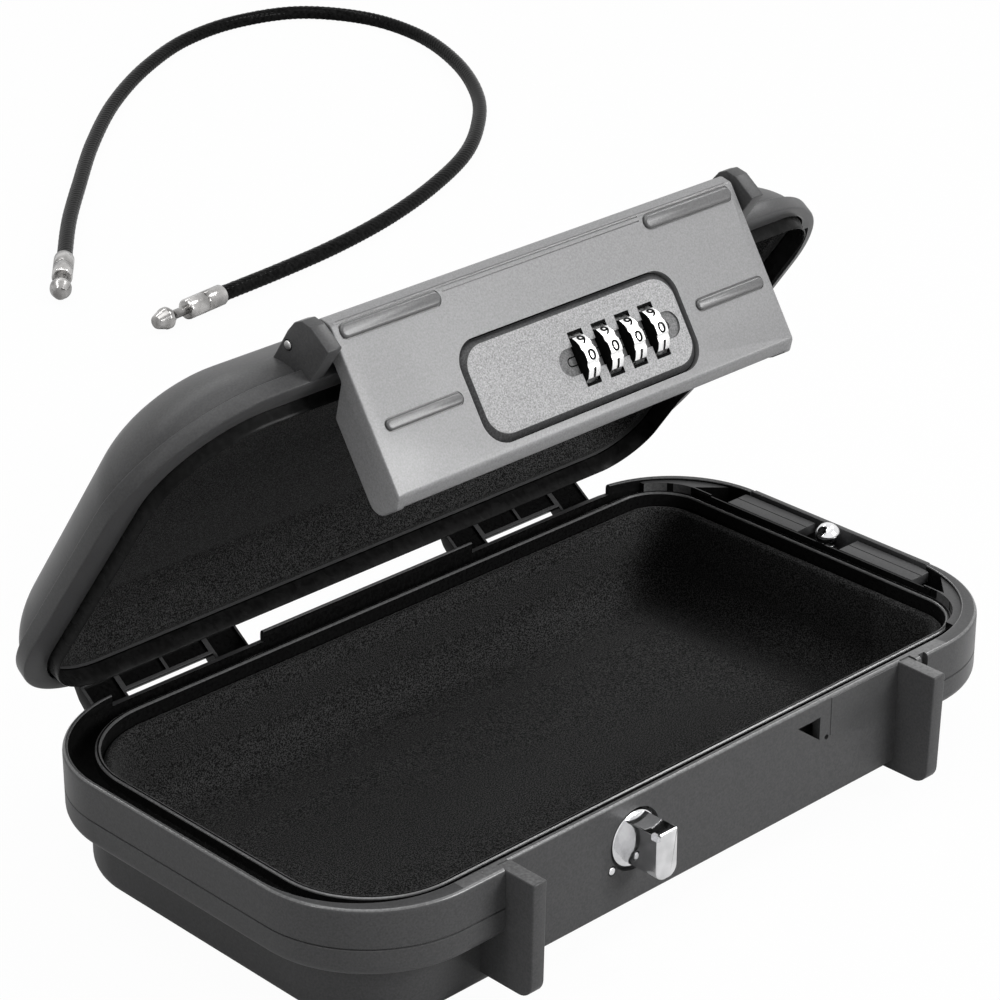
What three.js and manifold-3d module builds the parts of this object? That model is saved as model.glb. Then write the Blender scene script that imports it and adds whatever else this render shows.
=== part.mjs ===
// Portable car safe: a moulded box with a hinged lid, a combination latch cover and a loose security cable.
// Millimetres, +Z up. The origin is the middle of the base's underside, +X runs along the length towards
// the cable end and +Y towards the hinge. The lid stands open as it does when the safe is being filled.
import * as THREE from 'three';
import { mergeVertices } from 'three/addons/utils/BufferGeometryUtils.js';
import Module from 'manifold-3d';

const wasm = await Module();
wasm.setup();

// Clearances
const GAP = 0.3;
const PIN_FIT = 0.3;

// Springs
const SPRING_WIRE_R = 0.3;

// Box as a whole
const LENGTH = 247;
const BASE_DEPTH = 135;
const CORNER_R = 34;
const RIM_Z = 39.4;
const HALF_L = LENGTH / 2;
const HALF_D = BASE_DEPTH / 2;
const LID_FRONT_IN = 2.5;
const LID_REAR_IN = 1.5;
const LID_FRONT = -HALF_D + LID_FRONT_IN;
const LID_REAR = HALF_D - LID_REAR_IN;
const LID_Y = (LID_FRONT + LID_REAR) / 2;
const LID_DEPTH = LID_REAR - LID_FRONT;

// Base moulding
const COLLAR_BOTTOM = 20.4;
const COLLAR_EDGE_R = 3;
const LIP_BEVEL = 1.4;
const LIP_WALL = 1.5;
const TUB_INSET = 9;
const TUB_EDGE_R = 6;
const TUB_REAR_INSET = 4.5;
const FLOOR_T = 2.4;
const RIDGE_Z = 36.2;
const RIDGE_T = 1.6;
const CHANNEL_Z = 33;
const CAVITY_EDGE_R = 8;
const SEAM_Z = 28.4;
const SEAM_GROOVE = 0.4;

// Front of the base: recessed panel between two fins
const PANEL_IN = 3;
const PANEL_Y = -HALF_D + PANEL_IN;
const PANEL_BOTTOM = 9;
const PANEL_T = 2.5;
const POCKET_BACK = PANEL_Y + 5.7;
const FIN_IN = HALF_L - 51.5;
const FIN_T = 4.5;
const FIN_OUT = FIN_IN + FIN_T;
const FIN_PROUD = 9.6;
const FIN_FRONT = -HALF_D - FIN_PROUD;
const FIN_BOTTOM = 5.7;
const FIN_STRAIGHT_Z = 11;
const FIN_SLANT = 5;
const WEDGE_X = [32, 41];
const WEDGE_Z = [27.4, 34.2];
const DIMPLE_R = 0.8;

// Hollow of the base, which the liner, the ridge, the gasket and the lid's hollow all follow
const CAVITY = {
  xMin: -HALF_L + 11, xMax: HALF_L - 12.9, yMin: PANEL_Y + 8, yMax: HALF_D - 7, radii: [26, 14, 14, 26],
};

// Cable end of the base
const CHAMBER = {
  xMin: CAVITY.xMax + 2, xMax: HALF_L - 2.2, yMin: -HALF_D + 19.5, yMax: HALF_D - 17.5, floor: 24,
};
const CAP_FRONT = -33.3;
const CAP_REAR = 33.8;
const CABLE_HOLE_R = 4.6;
const CABLE_HOLE_Y = 20;
const CABLE_HOLE_Z = 31;
const PLATE_TOP = 36.9;
const PLATE_T = 1.6;
const PLATE_INNER = 8;
const PLATE_OUTER = 35;
const PLATE_TRAVEL = 3;
const BALL_R = 3.7;
const BALL_Z = 38.5;
const BALL_SHAFT_R = 1.8;
const BALL_X = HALF_L - 6.3;
const SHELF_TOP = 30;
const SHELF_HALF = 5;

// Rear hinges
const HINGE_Y = HALF_D + 3.15;
const HINGE_Z = 29.03;
const HINGE_X = HALF_L - 57.5;
const HINGE_ARM_IN = 15;
const HINGE_ARM_OUT = 26.5;
const HINGE_EYE_R = 2.8;
const HINGE_PIN_R = 1.5;
const HINGE_WEB_Z = 34.2;
const HINGE_WEB_T = 2;
const HINGE_BACK_GAP = 0.4;
const LID_OPEN = 54.15;
const LIP_GAPS = [[-HINGE_X - 25, -HINGE_X + 27], [HINGE_X - 24, HINGE_X + 28.5]];

// Lid moulding
const LID_RIM_Z = RIM_Z + GAP;
const LID_COLLAR_H = 4.4;
const LID_HEIGHT = 21;
const LID_LEDGE = 2.2;
const LID_SHOULDER = 20;
const LID_CURVE = 1.25;
const LID_TAPER = 1.6;
const LID_CORNER_R = 38;
const LID_ROOF_T = 2.9;
const LID_WALL = 2.2;
const LID_POCKET_TOP = LID_RIM_Z + 3.7;
const GASKET_W = 1.2;
const GASKET_BEVEL = [0.8, 4.4];
const GASKET_SEAT = 2;

// Latch cover and its pivot
const COVER_PIN_Y = -HALF_D + 1.05;
const COVER_PIN_Z = 50.43;
const COVER_PIN_R = 1.2;
const COVER_FOLD = 21.85;
const COVER_HALF_W = FIN_IN - 1.5;
const COVER_DEEP = 10.3;
const COVER_FACE = COVER_PIN_Y - COVER_DEEP;
const COVER_BACK = PANEL_Y - 0.5;
const COVER_BOTTOM = 3.8;
const COVER_WALL = 2;
const COVER_SIDE = 2.5;
const COVER_BARREL_R = 3;
const COVER_TOP_DROP = 2.5;
const BOTTOM_BEVEL = 2.7;
const COVER_TOP = COVER_PIN_Z + COVER_BARREL_R;
const COVER_STEP_TOP = 37.4;
const COVER_STEP_LOW = 30;
const COVER_STEP_Y = COVER_PIN_Y - 6;
const EAR_TOP = COVER_PIN_Z + 2.3;
const RIB_Z = 23.6;
const RIB_HALF = 1.5;
const RIB_PROUD = 0.7;
const RIB_X = [[-COVER_HALF_W + 4.5, -COVER_HALF_W + 29.5], [COVER_HALF_W - 28, COVER_HALF_W - 3]];
const BEAD_Z = 48.4;
const BEAD_HALF = 1.9;
const BEAD_PROUD = 0.8;
const BEAD_X = [[-COVER_HALF_W + 2, -COVER_HALF_W + 34.5], [COVER_HALF_W - 34.5, COVER_HALF_W - 2]];

// Lock in the cover
const LOCK_HALF_W = 38;
const LOCK_Z = [9.2, 36];
const LOCK_R = 7;
const LOCK_SET = 0.4;
const LOCK_FACE = COVER_FACE + LOCK_SET;
const LOCK_T = 1.4;
const DIAL_PITCH = 8.4;
const DIAL_FIRST = 0.2;
const DIAL_COUNT = 4;
const DIAL_R = 7.4;
const DIAL_W = 4.2;
const DIAL_PROUD = 3.5;
const DIAL_Z = 21.8;
const DIAL_BORE_R = 2.5;
const DIAL_LOBES = 10;
const WINDOW_W = 4.9;
const WINDOW_H = 14.8;
const SLOT_HALF = 3.6;
const SLOT_R = 3.5;
const SLOT_LEFT = 8.5;
const SLOT_RIGHT = 9.1;
const AXLE_R = 1.4;
const AXLE_Y = LOCK_FACE - DIAL_PROUD + DIAL_R;
const HOUSING_Z = [10.2, 34.8];
const HOUSING_Y = [COVER_FACE + COVER_WALL + GAP, PANEL_Y - 1.1];
const HOUSING_X = [-35, 33.6];
const HOUSING_BEVEL = [4.4, 3.4];
const BOLT_Z = [24.2, 28.2];
const BOLT_Y = [HOUSING_Y[0] + 2.4, HOUSING_Y[0] + 5.8];
const BOLT_THROW = 3.6;
const BOLT_SETBACK = 1.6;
const BOLT_SPRING_L = 5.4;

// Catch on the front panel
const CATCH_X = -28.5;
const CATCH_Z = 26.5;
const CATCH_HOLE_R = 8.75;
const CATCH_SEAT = 1.6;
const CATCH_DISC_R = 7.8;
const CATCH_DISC_T = 1;
const WASHER_R = 7.6;
const WASHER_T = 0.9;
const NUT_R = 6.2;
const NUT_T = 1.5;
const KEY_R = 1.1;
const KEY_X = CATCH_X - 8.2;
const KEY_Z = CATCH_Z - 6.1;
const TONGUE_X = [CATCH_X - 3.5, CATCH_X + 3.9];
const TONGUE_Z = [CATCH_Z - 7, CATCH_Z + 6.5];
const TONGUE_TIP = LOCK_FACE + 0.95;
const TONGUE_RELIEF = 0.6;
const CATCH_STUD_R = 4;

// Cable: a coated steel rope lying loose on the same surface behind the safe
const CABLE_R = 3;
const CABLE_SIDES = 10;
const CABLE_STEPS = 60;
const FERRULE_R = 3.8;
const FERRULE_L = 20;
const NECK_R = 2;
const NECK_L = 5;
const HEAD_R = 4;
const HEAD_L = 9;
const CABLE_ROUTE = [
  [142, 394], [168, 425], [195, 454], [229, 489], [267, 523], [306, 550], [342, 567], [374, 571], [402, 562],
  [418, 536], [419, 503], [405, 462], [380, 422], [355, 396], [328, 375], [293, 357], [258, 344], [225, 336],
  [194, 331], [162, 327],
];

// Materials
const plastic = new THREE.MeshStandardMaterial({ color: 0x2b2b2d, roughness: 0.45, metalness: 0 });
const coverPlastic = new THREE.MeshStandardMaterial({ color: 0x4a4a4c, roughness: 0.42, metalness: 0 });
const lockPlastic = new THREE.MeshStandardMaterial({ color: 0x3c3c3e, roughness: 0.6, metalness: 0 });
const innerPlastic = new THREE.MeshStandardMaterial({ color: 0x1c1c1d, roughness: 0.5, metalness: 0 });
const foam = new THREE.MeshStandardMaterial({ color: 0x141414, roughness: 0.95, metalness: 0 });
const rubber = new THREE.MeshStandardMaterial({ color: 0x101010, roughness: 0.8, metalness: 0 });
const chrome = new THREE.MeshStandardMaterial({ color: 0xd8d8d8, roughness: 0.12, metalness: 1 });
const steel = new THREE.MeshStandardMaterial({ color: 0xa8a8a8, roughness: 0.35, metalness: 1 });
const vinyl = new THREE.MeshStandardMaterial({ color: 0x121212, roughness: 0.3, metalness: 0 });

// Solids and booleans
function solid(geometry) {
  const bare = geometry.clone();
  bare.deleteAttribute('normal');
  bare.deleteAttribute('uv');
  const merged = mergeVertices(bare, 1e-4);
  return new wasm.Manifold(new wasm.Mesh({
    numProp: 3,
    vertProperties: new Float32Array(merged.attributes.position.array),
    triVerts: new Uint32Array(merged.index.array),
  }));
}

function geometryOf(manifold) {
  const result = manifold.getMesh();
  const geometry = new THREE.BufferGeometry();
  geometry.setAttribute('position', new THREE.BufferAttribute(new Float32Array(result.vertProperties), 3));
  geometry.setIndex(new THREE.BufferAttribute(new Uint32Array(result.triVerts), 1));
  geometry.computeVertexNormals();
  return geometry;
}

const join = (first, ...rest) => rest.reduce((sum, next) => sum.add(next), first);
const cut = (first, ...rest) => rest.reduce((left, next) => left.subtract(next), first);

function box(x0, x1, y0, y1, z0, z1) {
  const geometry = new THREE.BoxGeometry(x1 - x0, y1 - y0, z1 - z0);
  geometry.translate((x0 + x1) / 2, (y0 + y1) / 2, (z0 + z1) / 2);
  return solid(geometry);
}

// A cylinder along one axis, from a to b, through the point given by the other two coordinates
function rod(axis, radius, a, b, centre, sides = 24) {
  const geometry = new THREE.CylinderGeometry(radius, radius, b - a, sides);
  const mid = (a + b) / 2;
  if (axis === 'x') {
    geometry.rotateZ(Math.PI / 2);
    geometry.translate(mid, centre[0], centre[1]);
  } else if (axis === 'y') {
    geometry.translate(centre[0], mid, centre[1]);
  } else {
    geometry.rotateX(Math.PI / 2);
    geometry.translate(centre[0], centre[1], mid);
  }
  return solid(geometry);
}

function shapeOf(points) {
  return new THREE.Shape(points.map(([a, b]) => new THREE.Vector2(a, b)));
}

// A closed outline of (y, z) points carried along X
function prismX(shape, x0, x1, curveSegments = 8) {
  const geometry = new THREE.ExtrudeGeometry(shape, { depth: x1 - x0, bevelEnabled: false, curveSegments });
  const toYZ = new THREE.Matrix4().makeBasis(
    new THREE.Vector3(0, 1, 0), new THREE.Vector3(0, 0, 1), new THREE.Vector3(1, 0, 0));
  geometry.applyMatrix4(toYZ);
  geometry.translate(x0, 0, 0);
  return solid(geometry);
}

// A closed outline of (x, z) points carried along Y
function prismY(shape, y0, y1, curveSegments = 8) {
  const geometry = new THREE.ExtrudeGeometry(shape, { depth: y1 - y0, bevelEnabled: false, curveSegments });
  geometry.rotateX(Math.PI / 2);
  geometry.translate(0, y1, 0);
  return solid(geometry);
}

function roundedRect(a0, a1, b0, b1, r) {
  const shape = new THREE.Shape();
  shape.moveTo(a0 + r, b0);
  shape.lineTo(a1 - r, b0);
  shape.absarc(a1 - r, b0 + r, r, -Math.PI / 2, 0);
  shape.lineTo(a1, b1 - r);
  shape.absarc(a1 - r, b1 - r, r, 0, Math.PI / 2);
  shape.lineTo(a0 + r, b1);
  shape.absarc(a0 + r, b1 - r, r, Math.PI / 2, Math.PI);
  shape.lineTo(a0, b0 + r);
  shape.absarc(a0 + r, b0 + r, r, Math.PI, 1.5 * Math.PI);
  return shape;
}

// Points round a plan whose corners have their own radii, listed rear left, rear right, front right and
// front left; they run counter-clockwise seen from above, and z may be a function of y
function planRing(plan, inset, z, steps = 7) {
  const [rearLeft, rearRight, frontRight, frontLeft] = plan.radii;
  const corners = [
    [plan.xMax, plan.yMax, rearRight, 0, -1, -1],
    [plan.xMin, plan.yMax, rearLeft, 90, 1, -1],
    [plan.xMin, plan.yMin, frontLeft, 180, 1, 1],
    [plan.xMax, plan.yMin, frontRight, 270, -1, 1],
  ];
  const ring = [];
  for (const [x, y, r, start, sx, sy] of corners) {
    const radius = Math.max(r - inset, 1);
    for (let i = 0; i <= steps; i++) {
      const angle = THREE.MathUtils.degToRad(start + (90 * i) / steps);
      const px = x + sx * (inset + radius) + radius * Math.cos(angle);
      const py = y + sy * (inset + radius) + radius * Math.sin(angle);
      ring.push(new THREE.Vector3(px, py, typeof z === 'function' ? z(py) : z));
    }
  }
  return ring;
}

// A solid through a stack of rings that have the same number of points
function loft(rings) {
  const count = rings[0].length;
  const vertices = rings.flat();
  const index = [];
  for (let k = 0; k + 1 < rings.length; k++) {
    for (let i = 0; i < count; i++) {
      const j = (i + 1) % count;
      const a = k * count + i;
      const b = k * count + j;
      index.push(a, b, b + count, a, b + count, a + count);
    }
  }
  const last = (rings.length - 1) * count;
  for (let i = 1; i + 1 < count; i++) {
    index.push(0, i + 1, i);
    index.push(last, last + i, last + i + 1);
  }
  const geometry = new THREE.BufferGeometry().setFromPoints(vertices);
  geometry.setIndex(index);
  return solid(geometry);
}

const slab = (plan, inset, z0, z1) => loft([planRing(plan, inset, z0), planRing(plan, inset, z1)]);

const grown = (plan, by) => ({
  xMin: plan.xMin - by,
  xMax: plan.xMax + by,
  yMin: plan.yMin - by,
  yMax: plan.yMax + by,
  radii: plan.radii.map((r) => r + by),
});

// A ball, turned from half a circle about Z
function ball(radius, centre) {
  const geometry = new THREE.SphereGeometry(radius, 18, 12);
  geometry.translate(...centre);
  return solid(geometry);
}

// A coil spring standing along one axis
class Helix extends THREE.Curve {
  constructor(radius, pitch, turns) {
    super();
    Object.assign(this, { radius, pitch, turns });
  }

  getPoint(t) {
    const angle = 2 * Math.PI * this.turns * t;
    return new THREE.Vector3(
      this.radius * Math.cos(angle), this.radius * Math.sin(angle), this.pitch * this.turns * t);
  }
}

// The least distance between a tube's turns, measured on points of its centre line
function leastGap(curve, tubeRadius, perTurn, turns) {
  const points = curve.getPoints(perTurn * turns);
  let least = Infinity;
  points.forEach((a, i) => {
    for (let j = i + perTurn / 2; j < points.length; j++) {
      least = Math.min(least, a.distanceTo(points[j]) - 2 * tubeRadius);
    }
  });
  return least;
}

function polygonSection(radius, sides) {
  return new THREE.Shape(Array.from({ length: sides }, (_, i) => {
    const angle = (2 * Math.PI * i) / sides;
    return new THREE.Vector2(radius * Math.cos(angle), radius * Math.sin(angle));
  }));
}

function coilSpring(name, radius, length, turns) {
  const pitch = (length - 2 * SPRING_WIRE_R) / turns;
  const helix = new Helix(radius, pitch, turns);
  console.log(`${name}: ${turns} curls, least gap ${leastGap(helix, SPRING_WIRE_R, 24, turns).toFixed(2)} mm`);
  const geometry = new THREE.ExtrudeGeometry(polygonSection(SPRING_WIRE_R, 5), {
    extrudePath: helix, steps: turns * 8, bevelEnabled: false,
  });
  geometry.translate(0, 0, SPRING_WIRE_R);
  return geometry;
}

// The assembly: groups that turn, and named meshes in them
const safe = new THREE.Group();
const lidGroup = new THREE.Group();
const coverGroup = new THREE.Group();

// Everything is drawn with the lid shut; each group turns about its own pin into the open position
lidGroup.position.set(0, HINGE_Y, HINGE_Z);
lidGroup.rotation.x = -THREE.MathUtils.degToRad(LID_OPEN);
coverGroup.position.set(0, COVER_PIN_Y - HINGE_Y, COVER_PIN_Z - HINGE_Z);
coverGroup.rotation.x = THREE.MathUtils.degToRad(COVER_FOLD);
safe.add(lidGroup);
lidGroup.add(coverGroup);

const origins = new Map([
  [safe, new THREE.Vector3(0, 0, 0)],
  [lidGroup, new THREE.Vector3(0, HINGE_Y, HINGE_Z)],
  [coverGroup, new THREE.Vector3(0, COVER_PIN_Y, COVER_PIN_Z)],
]);

function place(group, name, shape, material) {
  const geometry = shape instanceof THREE.BufferGeometry ? shape : geometryOf(shape);
  const origin = origins.get(group);
  geometry.translate(-origin.x, -origin.y, -origin.z);
  const mesh = new THREE.Mesh(geometry, material);
  mesh.name = name;
  group.add(mesh);
  return mesh;
}

// Base shell: a rounded tub under a thick collar, with the front panel, its fins and the hinge knuckles
const basePlan = {
  xMin: -HALF_L, xMax: HALF_L, yMin: -HALF_D, yMax: HALF_D, radii: [CORNER_R, CORNER_R, CORNER_R, CORNER_R],
};
const tubPlan = {
  xMin: -HALF_L + TUB_INSET, xMax: HALF_L - TUB_INSET, yMin: -HALF_D + TUB_INSET, yMax: HALF_D - TUB_REAR_INSET,
  radii: [CORNER_R - TUB_INSET, CORNER_R - TUB_INSET, CORNER_R - TUB_INSET + 1, CORNER_R - TUB_INSET + 1],
};
const lipPlan = {
  xMin: -HALF_L + LIP_WALL, xMax: CHAMBER.xMax, yMin: PANEL_Y + LIP_WALL, yMax: HALF_D - LIP_WALL,
  radii: [CORNER_R - LIP_WALL, CORNER_R - LIP_WALL, CORNER_R - LIP_WALL, CORNER_R - LIP_WALL],
};
const ridgePlan = {
  xMin: CAVITY.xMin - RIDGE_T, xMax: CHAMBER.xMin, yMin: CAVITY.yMin - RIDGE_T, yMax: CAVITY.yMax + RIDGE_T,
  radii: CAVITY.radii.map((r) => r + RIDGE_T),
};

function quarterRound(plan, r, zFlat, steps, sign = 1) {
  const rings = [];
  for (let i = 0; i <= steps; i++) {
    const angle = (Math.PI / 2) * (i / steps);
    rings.push([r * (1 - Math.sin(angle)), zFlat + sign * r * (1 - Math.cos(angle))]);
  }
  return rings.map(([inset, z]) => planRing(plan, inset, z));
}

function baseShell() {
  const tub = loft([...quarterRound(tubPlan, TUB_EDGE_R, 0, 4), planRing(tubPlan, 0, RIDGE_Z)]);
  const collar = loft([
    ...quarterRound(basePlan, COLLAR_EDGE_R, COLLAR_BOTTOM, 3),
    planRing(basePlan, 0, SEAM_Z - SEAM_GROOVE),
    planRing(basePlan, SEAM_GROOVE, SEAM_Z),
    planRing(basePlan, 0, SEAM_Z + SEAM_GROOVE),
    planRing(basePlan, 0, RIM_Z - LIP_BEVEL),
    planRing(basePlan, LIP_BEVEL / 2, RIM_Z),
  ]);
  const frontBox = box(-FIN_IN, FIN_IN, PANEL_Y, CAVITY.yMin + 6, PANEL_BOTTOM, RIM_Z);
  const frontRoom = box(-FIN_OUT, FIN_OUT, FIN_FRONT - 1, PANEL_Y, -1, RIM_Z + 1);
  const outside = join(cut(join(tub, collar), frontRoom), frontBox);

  const finRoot = PANEL_Y + 6.5;
  const fin = new THREE.Shape();
  fin.moveTo(finRoot, RIM_Z - GAP);
  fin.lineTo(FIN_FRONT, RIM_Z - GAP);
  fin.lineTo(FIN_FRONT, FIN_STRAIGHT_Z);
  fin.quadraticCurveTo(FIN_FRONT + 0.4, FIN_BOTTOM, FIN_FRONT + FIN_SLANT, FIN_BOTTOM);
  fin.lineTo(finRoot, FIN_BOTTOM);
  const fins = [prismX(fin, -FIN_OUT, -FIN_IN, 5), prismX(fin, FIN_IN, FIN_OUT, 5)];

  const knuckles = [];
  for (const side of [-1, 1]) {
    const half = HINGE_ARM_IN - GAP;
    const x0 = side * HINGE_X - half;
    const x1 = side * HINGE_X + half;
    knuckles.push(prismX(shapeOf([
      [HALF_D - 1, HINGE_Z - 7], [HALF_D + 0.5, HINGE_Z - 7], [HINGE_Y, HINGE_Z - HINGE_EYE_R],
      [HINGE_Y, HINGE_Z + HINGE_EYE_R], [HALF_D - 1, HINGE_Z + HINGE_EYE_R],
    ]), x0, x1));
    knuckles.push(rod('x', HINGE_EYE_R, x0, x1, [HINGE_Y, HINGE_Z]));
  }

  const cavity = loft([
    ...quarterRound(CAVITY, CAVITY_EDGE_R, FLOOR_T, 4),
    planRing(CAVITY, 0, RIM_Z + 1),
  ]);
  const channel = cut(slab(lipPlan, 0, CHANNEL_Z, RIM_Z + 1), slab(ridgePlan, 0, CHANNEL_Z - 1, RIM_Z + 2));
  const ridgeTop = slab(grown(ridgePlan, 0.5), 0, RIDGE_Z, RIM_Z + 1);
  const chamber = box(CHAMBER.xMin, CHAMBER.xMax, CHAMBER.yMin, CHAMBER.yMax, CHAMBER.floor, RIM_Z)
    .intersect(slab(lipPlan, 0, CHAMBER.floor - 1, RIM_Z + 1));
  const shelf = box(CHAMBER.xMin - 0.5, CHAMBER.xMax - GAP, -SHELF_HALF, SHELF_HALF, CHAMBER.floor - 1, SHELF_TOP);
  const capWindow = box(CHAMBER.xMax - 0.2, HALF_L + 1, CAP_FRONT, CAP_REAR, CHAMBER.floor, RIM_Z + 1);
  const pocket = box(-FIN_IN + 3, FIN_IN - 3, PANEL_Y + PANEL_T, POCKET_BACK, -1, CHANNEL_Z - 2);
  const catchBoss = box(CATCH_X - WASHER_R - 2, CATCH_X + WASHER_R + 2, PANEL_Y + 0.5, POCKET_BACK + 0.5,
    CHANNEL_Z - 2, RIDGE_Z);
  const catchPocket = box(CATCH_X - WASHER_R - GAP, CATCH_X + WASHER_R + GAP, PANEL_Y + PANEL_T, POCKET_BACK,
    CATCH_Z, CATCH_Z + WASHER_R + GAP);
  const lipGaps = LIP_GAPS.map(([x0, x1]) => box(x0, x1, HALF_D - LIP_WALL - 1, HALF_D + 1, RIDGE_Z, RIM_Z + 1));
  const catchHole = join(
    rod('y', CATCH_HOLE_R, PANEL_Y - 1, PANEL_Y + CATCH_SEAT, [CATCH_X, CATCH_Z], 36),
    rod('y', CATCH_STUD_R + PIN_FIT, PANEL_Y, PANEL_Y + PANEL_T + 1, [CATCH_X, CATCH_Z]));
  const keyHole = rod('y', KEY_R + PIN_FIT, PANEL_Y - 1, PANEL_Y + PANEL_T + 0.5, [KEY_X, KEY_Z], 16);
  const [wedgeX0, wedgeX1] = WEDGE_X;
  const [wedgeZ0, wedgeZ1] = WEDGE_Z;
  const wedge = prismY(
    shapeOf([[wedgeX0, wedgeZ1], [wedgeX1, wedgeZ0], [wedgeX1, wedgeZ1]]), PANEL_Y - 1, PANEL_Y + 1.4);
  const dimple = rod('y', DIMPLE_R, PANEL_Y - 1, PANEL_Y + 1, [wedgeX1 + 2.8, wedgeZ0 - 0.2], 12);
  const notch = box(FIN_OUT + 1.7, FIN_OUT + 4.3, -HALF_D - 1, -HALF_D + 1.6, RIM_Z - 4, RIM_Z + 1);
  const pinBores = [-1, 1].map((side) => rod('x', HINGE_PIN_R + PIN_FIT,
    side * HINGE_X - HINGE_ARM_OUT, side * HINGE_X + HINGE_ARM_OUT, [HINGE_Y, HINGE_Z]));
  const pinShaft = rod('z', BALL_SHAFT_R + PIN_FIT, CHAMBER.floor - 2, SHELF_TOP + 1, [BALL_X, 0], 20);

  const hollowed = cut(join(outside, ...fins, ...knuckles), cavity, channel, ridgeTop, chamber, capWindow, pocket);
  const fitted = join(hollowed, shelf, catchBoss);
  return cut(fitted, catchPocket, ...lipGaps, catchHole, keyHole, wedge, dimple, notch, ...pinBores, pinShaft);
}

place(safe, 'base_shell', baseShell(), plastic);

// Base liner: a moulded foam tray pressed into the cavity
const LINER_T = 3;
const LINER_TOP = RIDGE_Z - 4;
const linerPlan = grown(CAVITY, -GAP);
function baseLiner() {
  const outer = loft([
    ...quarterRound(linerPlan, CAVITY_EDGE_R, FLOOR_T + GAP, 4), planRing(linerPlan, 0, LINER_TOP),
  ]);
  const innerPlan = grown(linerPlan, -LINER_T);
  const inner = loft([
    ...quarterRound(innerPlan, CAVITY_EDGE_R, FLOOR_T + GAP + LINER_T, 4), planRing(innerPlan, 0, LINER_TOP + 1),
  ]);
  return cut(outer, inner);
}
place(safe, 'base_liner', baseLiner(), foam);

// End cap: the separate strip of the end wall with the two holes for the cable heads
function endCap() {
  const front = CAP_FRONT + GAP;
  const rear = CAP_REAR - GAP;
  const strip = prismX(roundedRect(front, rear, CHAMBER.floor + GAP, RIM_Z, 0.4), CHAMBER.xMax + GAP, HALF_L, 2);
  const holes = [-1, 1].map((side) => rod('x', CABLE_HOLE_R, CHAMBER.xMax - 1, HALF_L + 1,
    [side * CABLE_HOLE_Y, CABLE_HOLE_Z]));
  return cut(strip, ...holes);
}
place(safe, 'end_cap', endCap(), plastic);

// Lock plates: two sliding covers over the cable chamber, each with a keyhole blade that grips a cable neck
function lockPlate(side) {
  const x0 = CHAMBER.xMin + GAP;
  const x1 = CHAMBER.xMax - GAP;
  const y0 = side > 0 ? PLATE_INNER : -PLATE_OUTER;
  const y1 = side > 0 ? PLATE_OUTER : -PLATE_INNER;
  const plate = box(x0, x1, y0, y1, PLATE_TOP - PLATE_T, PLATE_TOP);
  const seam = box(x0 + 2.6, x0 + 3, y0 - 1, y1 + 1, PLATE_TOP - 0.4, PLATE_TOP + 1);
  const bladeX = x1 - 2;
  const blade = box(bladeX, bladeX + 1.4, y0 + 3, y1 - 3, CHAMBER.floor + GAP, PLATE_TOP - 0.5);
  const eye = rod('x', CABLE_HOLE_R, bladeX - 1, bladeX + 3, [side * CABLE_HOLE_Y, CABLE_HOLE_Z]);
  const room = slab(lipPlan, GAP, CHAMBER.floor, RIM_Z).translate([0, -side * PLATE_TRAVEL, 0]);
  return cut(join(plate, blade), seam, eye).intersect(room);
}
place(safe, 'lock_plate_rear', lockPlate(1), plastic);
place(safe, 'lock_plate_front', lockPlate(-1), plastic);

// Release pin: a ball-headed plunger between the plates, with its return spring on the shelf
const releasePin = join(
  ball(BALL_R, [BALL_X, 0, BALL_Z]),
  rod('z', BALL_SHAFT_R, CHAMBER.floor + 4.5, BALL_Z, [BALL_X, 0], 20));
place(safe, 'release_pin', releasePin, chrome);
const releaseSpring = coilSpring('release_spring', 2.6, BALL_Z - BALL_R - SHELF_TOP - 2 * GAP, 3);
releaseSpring.translate(BALL_X, 0, SHELF_TOP + GAP);
place(safe, 'release_spring', releaseSpring, steel);

// Catch: a plated disc with a tongue, a retaining washer and nut behind the panel, and an anti-turn key
const CATCH_DISC_BACK = PANEL_Y + CATCH_SEAT - GAP;
const CATCH_DISC_FRONT = CATCH_DISC_BACK - CATCH_DISC_T;
const WASHER_Y = [PANEL_Y + PANEL_T + GAP, PANEL_Y + PANEL_T + GAP + WASHER_T];
const NUT_Y = [WASHER_Y[1] + 0.2, WASHER_Y[1] + 0.2 + NUT_T];
function catchPost() {
  const disc = rod('y', CATCH_DISC_R, CATCH_DISC_FRONT, CATCH_DISC_BACK, [CATCH_X, CATCH_Z], 36);
  const [x0, x1] = TONGUE_X;
  const [z0, z1] = TONGUE_Z;
  const tongueShape = new THREE.Shape();
  const r = (x1 - x0) / 2;
  tongueShape.moveTo(x1, z1);
  tongueShape.lineTo(x0, z1);
  tongueShape.lineTo(x0, z0 + r * 0.6);
  tongueShape.quadraticCurveTo(x0 + 0.4, z0, x0 + r, z0);
  tongueShape.quadraticCurveTo(x1 - 0.4, z0, x1, z0 + r * 0.6);
  const tongue = prismY(tongueShape, TONGUE_TIP, CATCH_DISC_FRONT + 0.5, 5);
  const notch = box(x0 - 1, x0 + 1.2, TONGUE_TIP - 1, TONGUE_TIP + 2.2, z1 - 1.6, z1 + 1);
  const boltSlot = box(x1 - BOLT_THROW + BOLT_SETBACK - GAP, x1 + 1, BOLT_Y[0] - GAP, BOLT_Y[1] + GAP,
    BOLT_Z[0] - GAP, BOLT_Z[1] + GAP);
  const stud = rod('y', CATCH_STUD_R, CATCH_DISC_BACK - 0.5, NUT_Y[1], [CATCH_X, CATCH_Z]);
  return join(disc, cut(tongue, notch, boltSlot), stud);
}
place(safe, 'catch_post', catchPost(), chrome);
const studBore = rod('y', CATCH_STUD_R + PIN_FIT, WASHER_Y[0] - 1, NUT_Y[1] + 1, [CATCH_X, CATCH_Z]);
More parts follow.
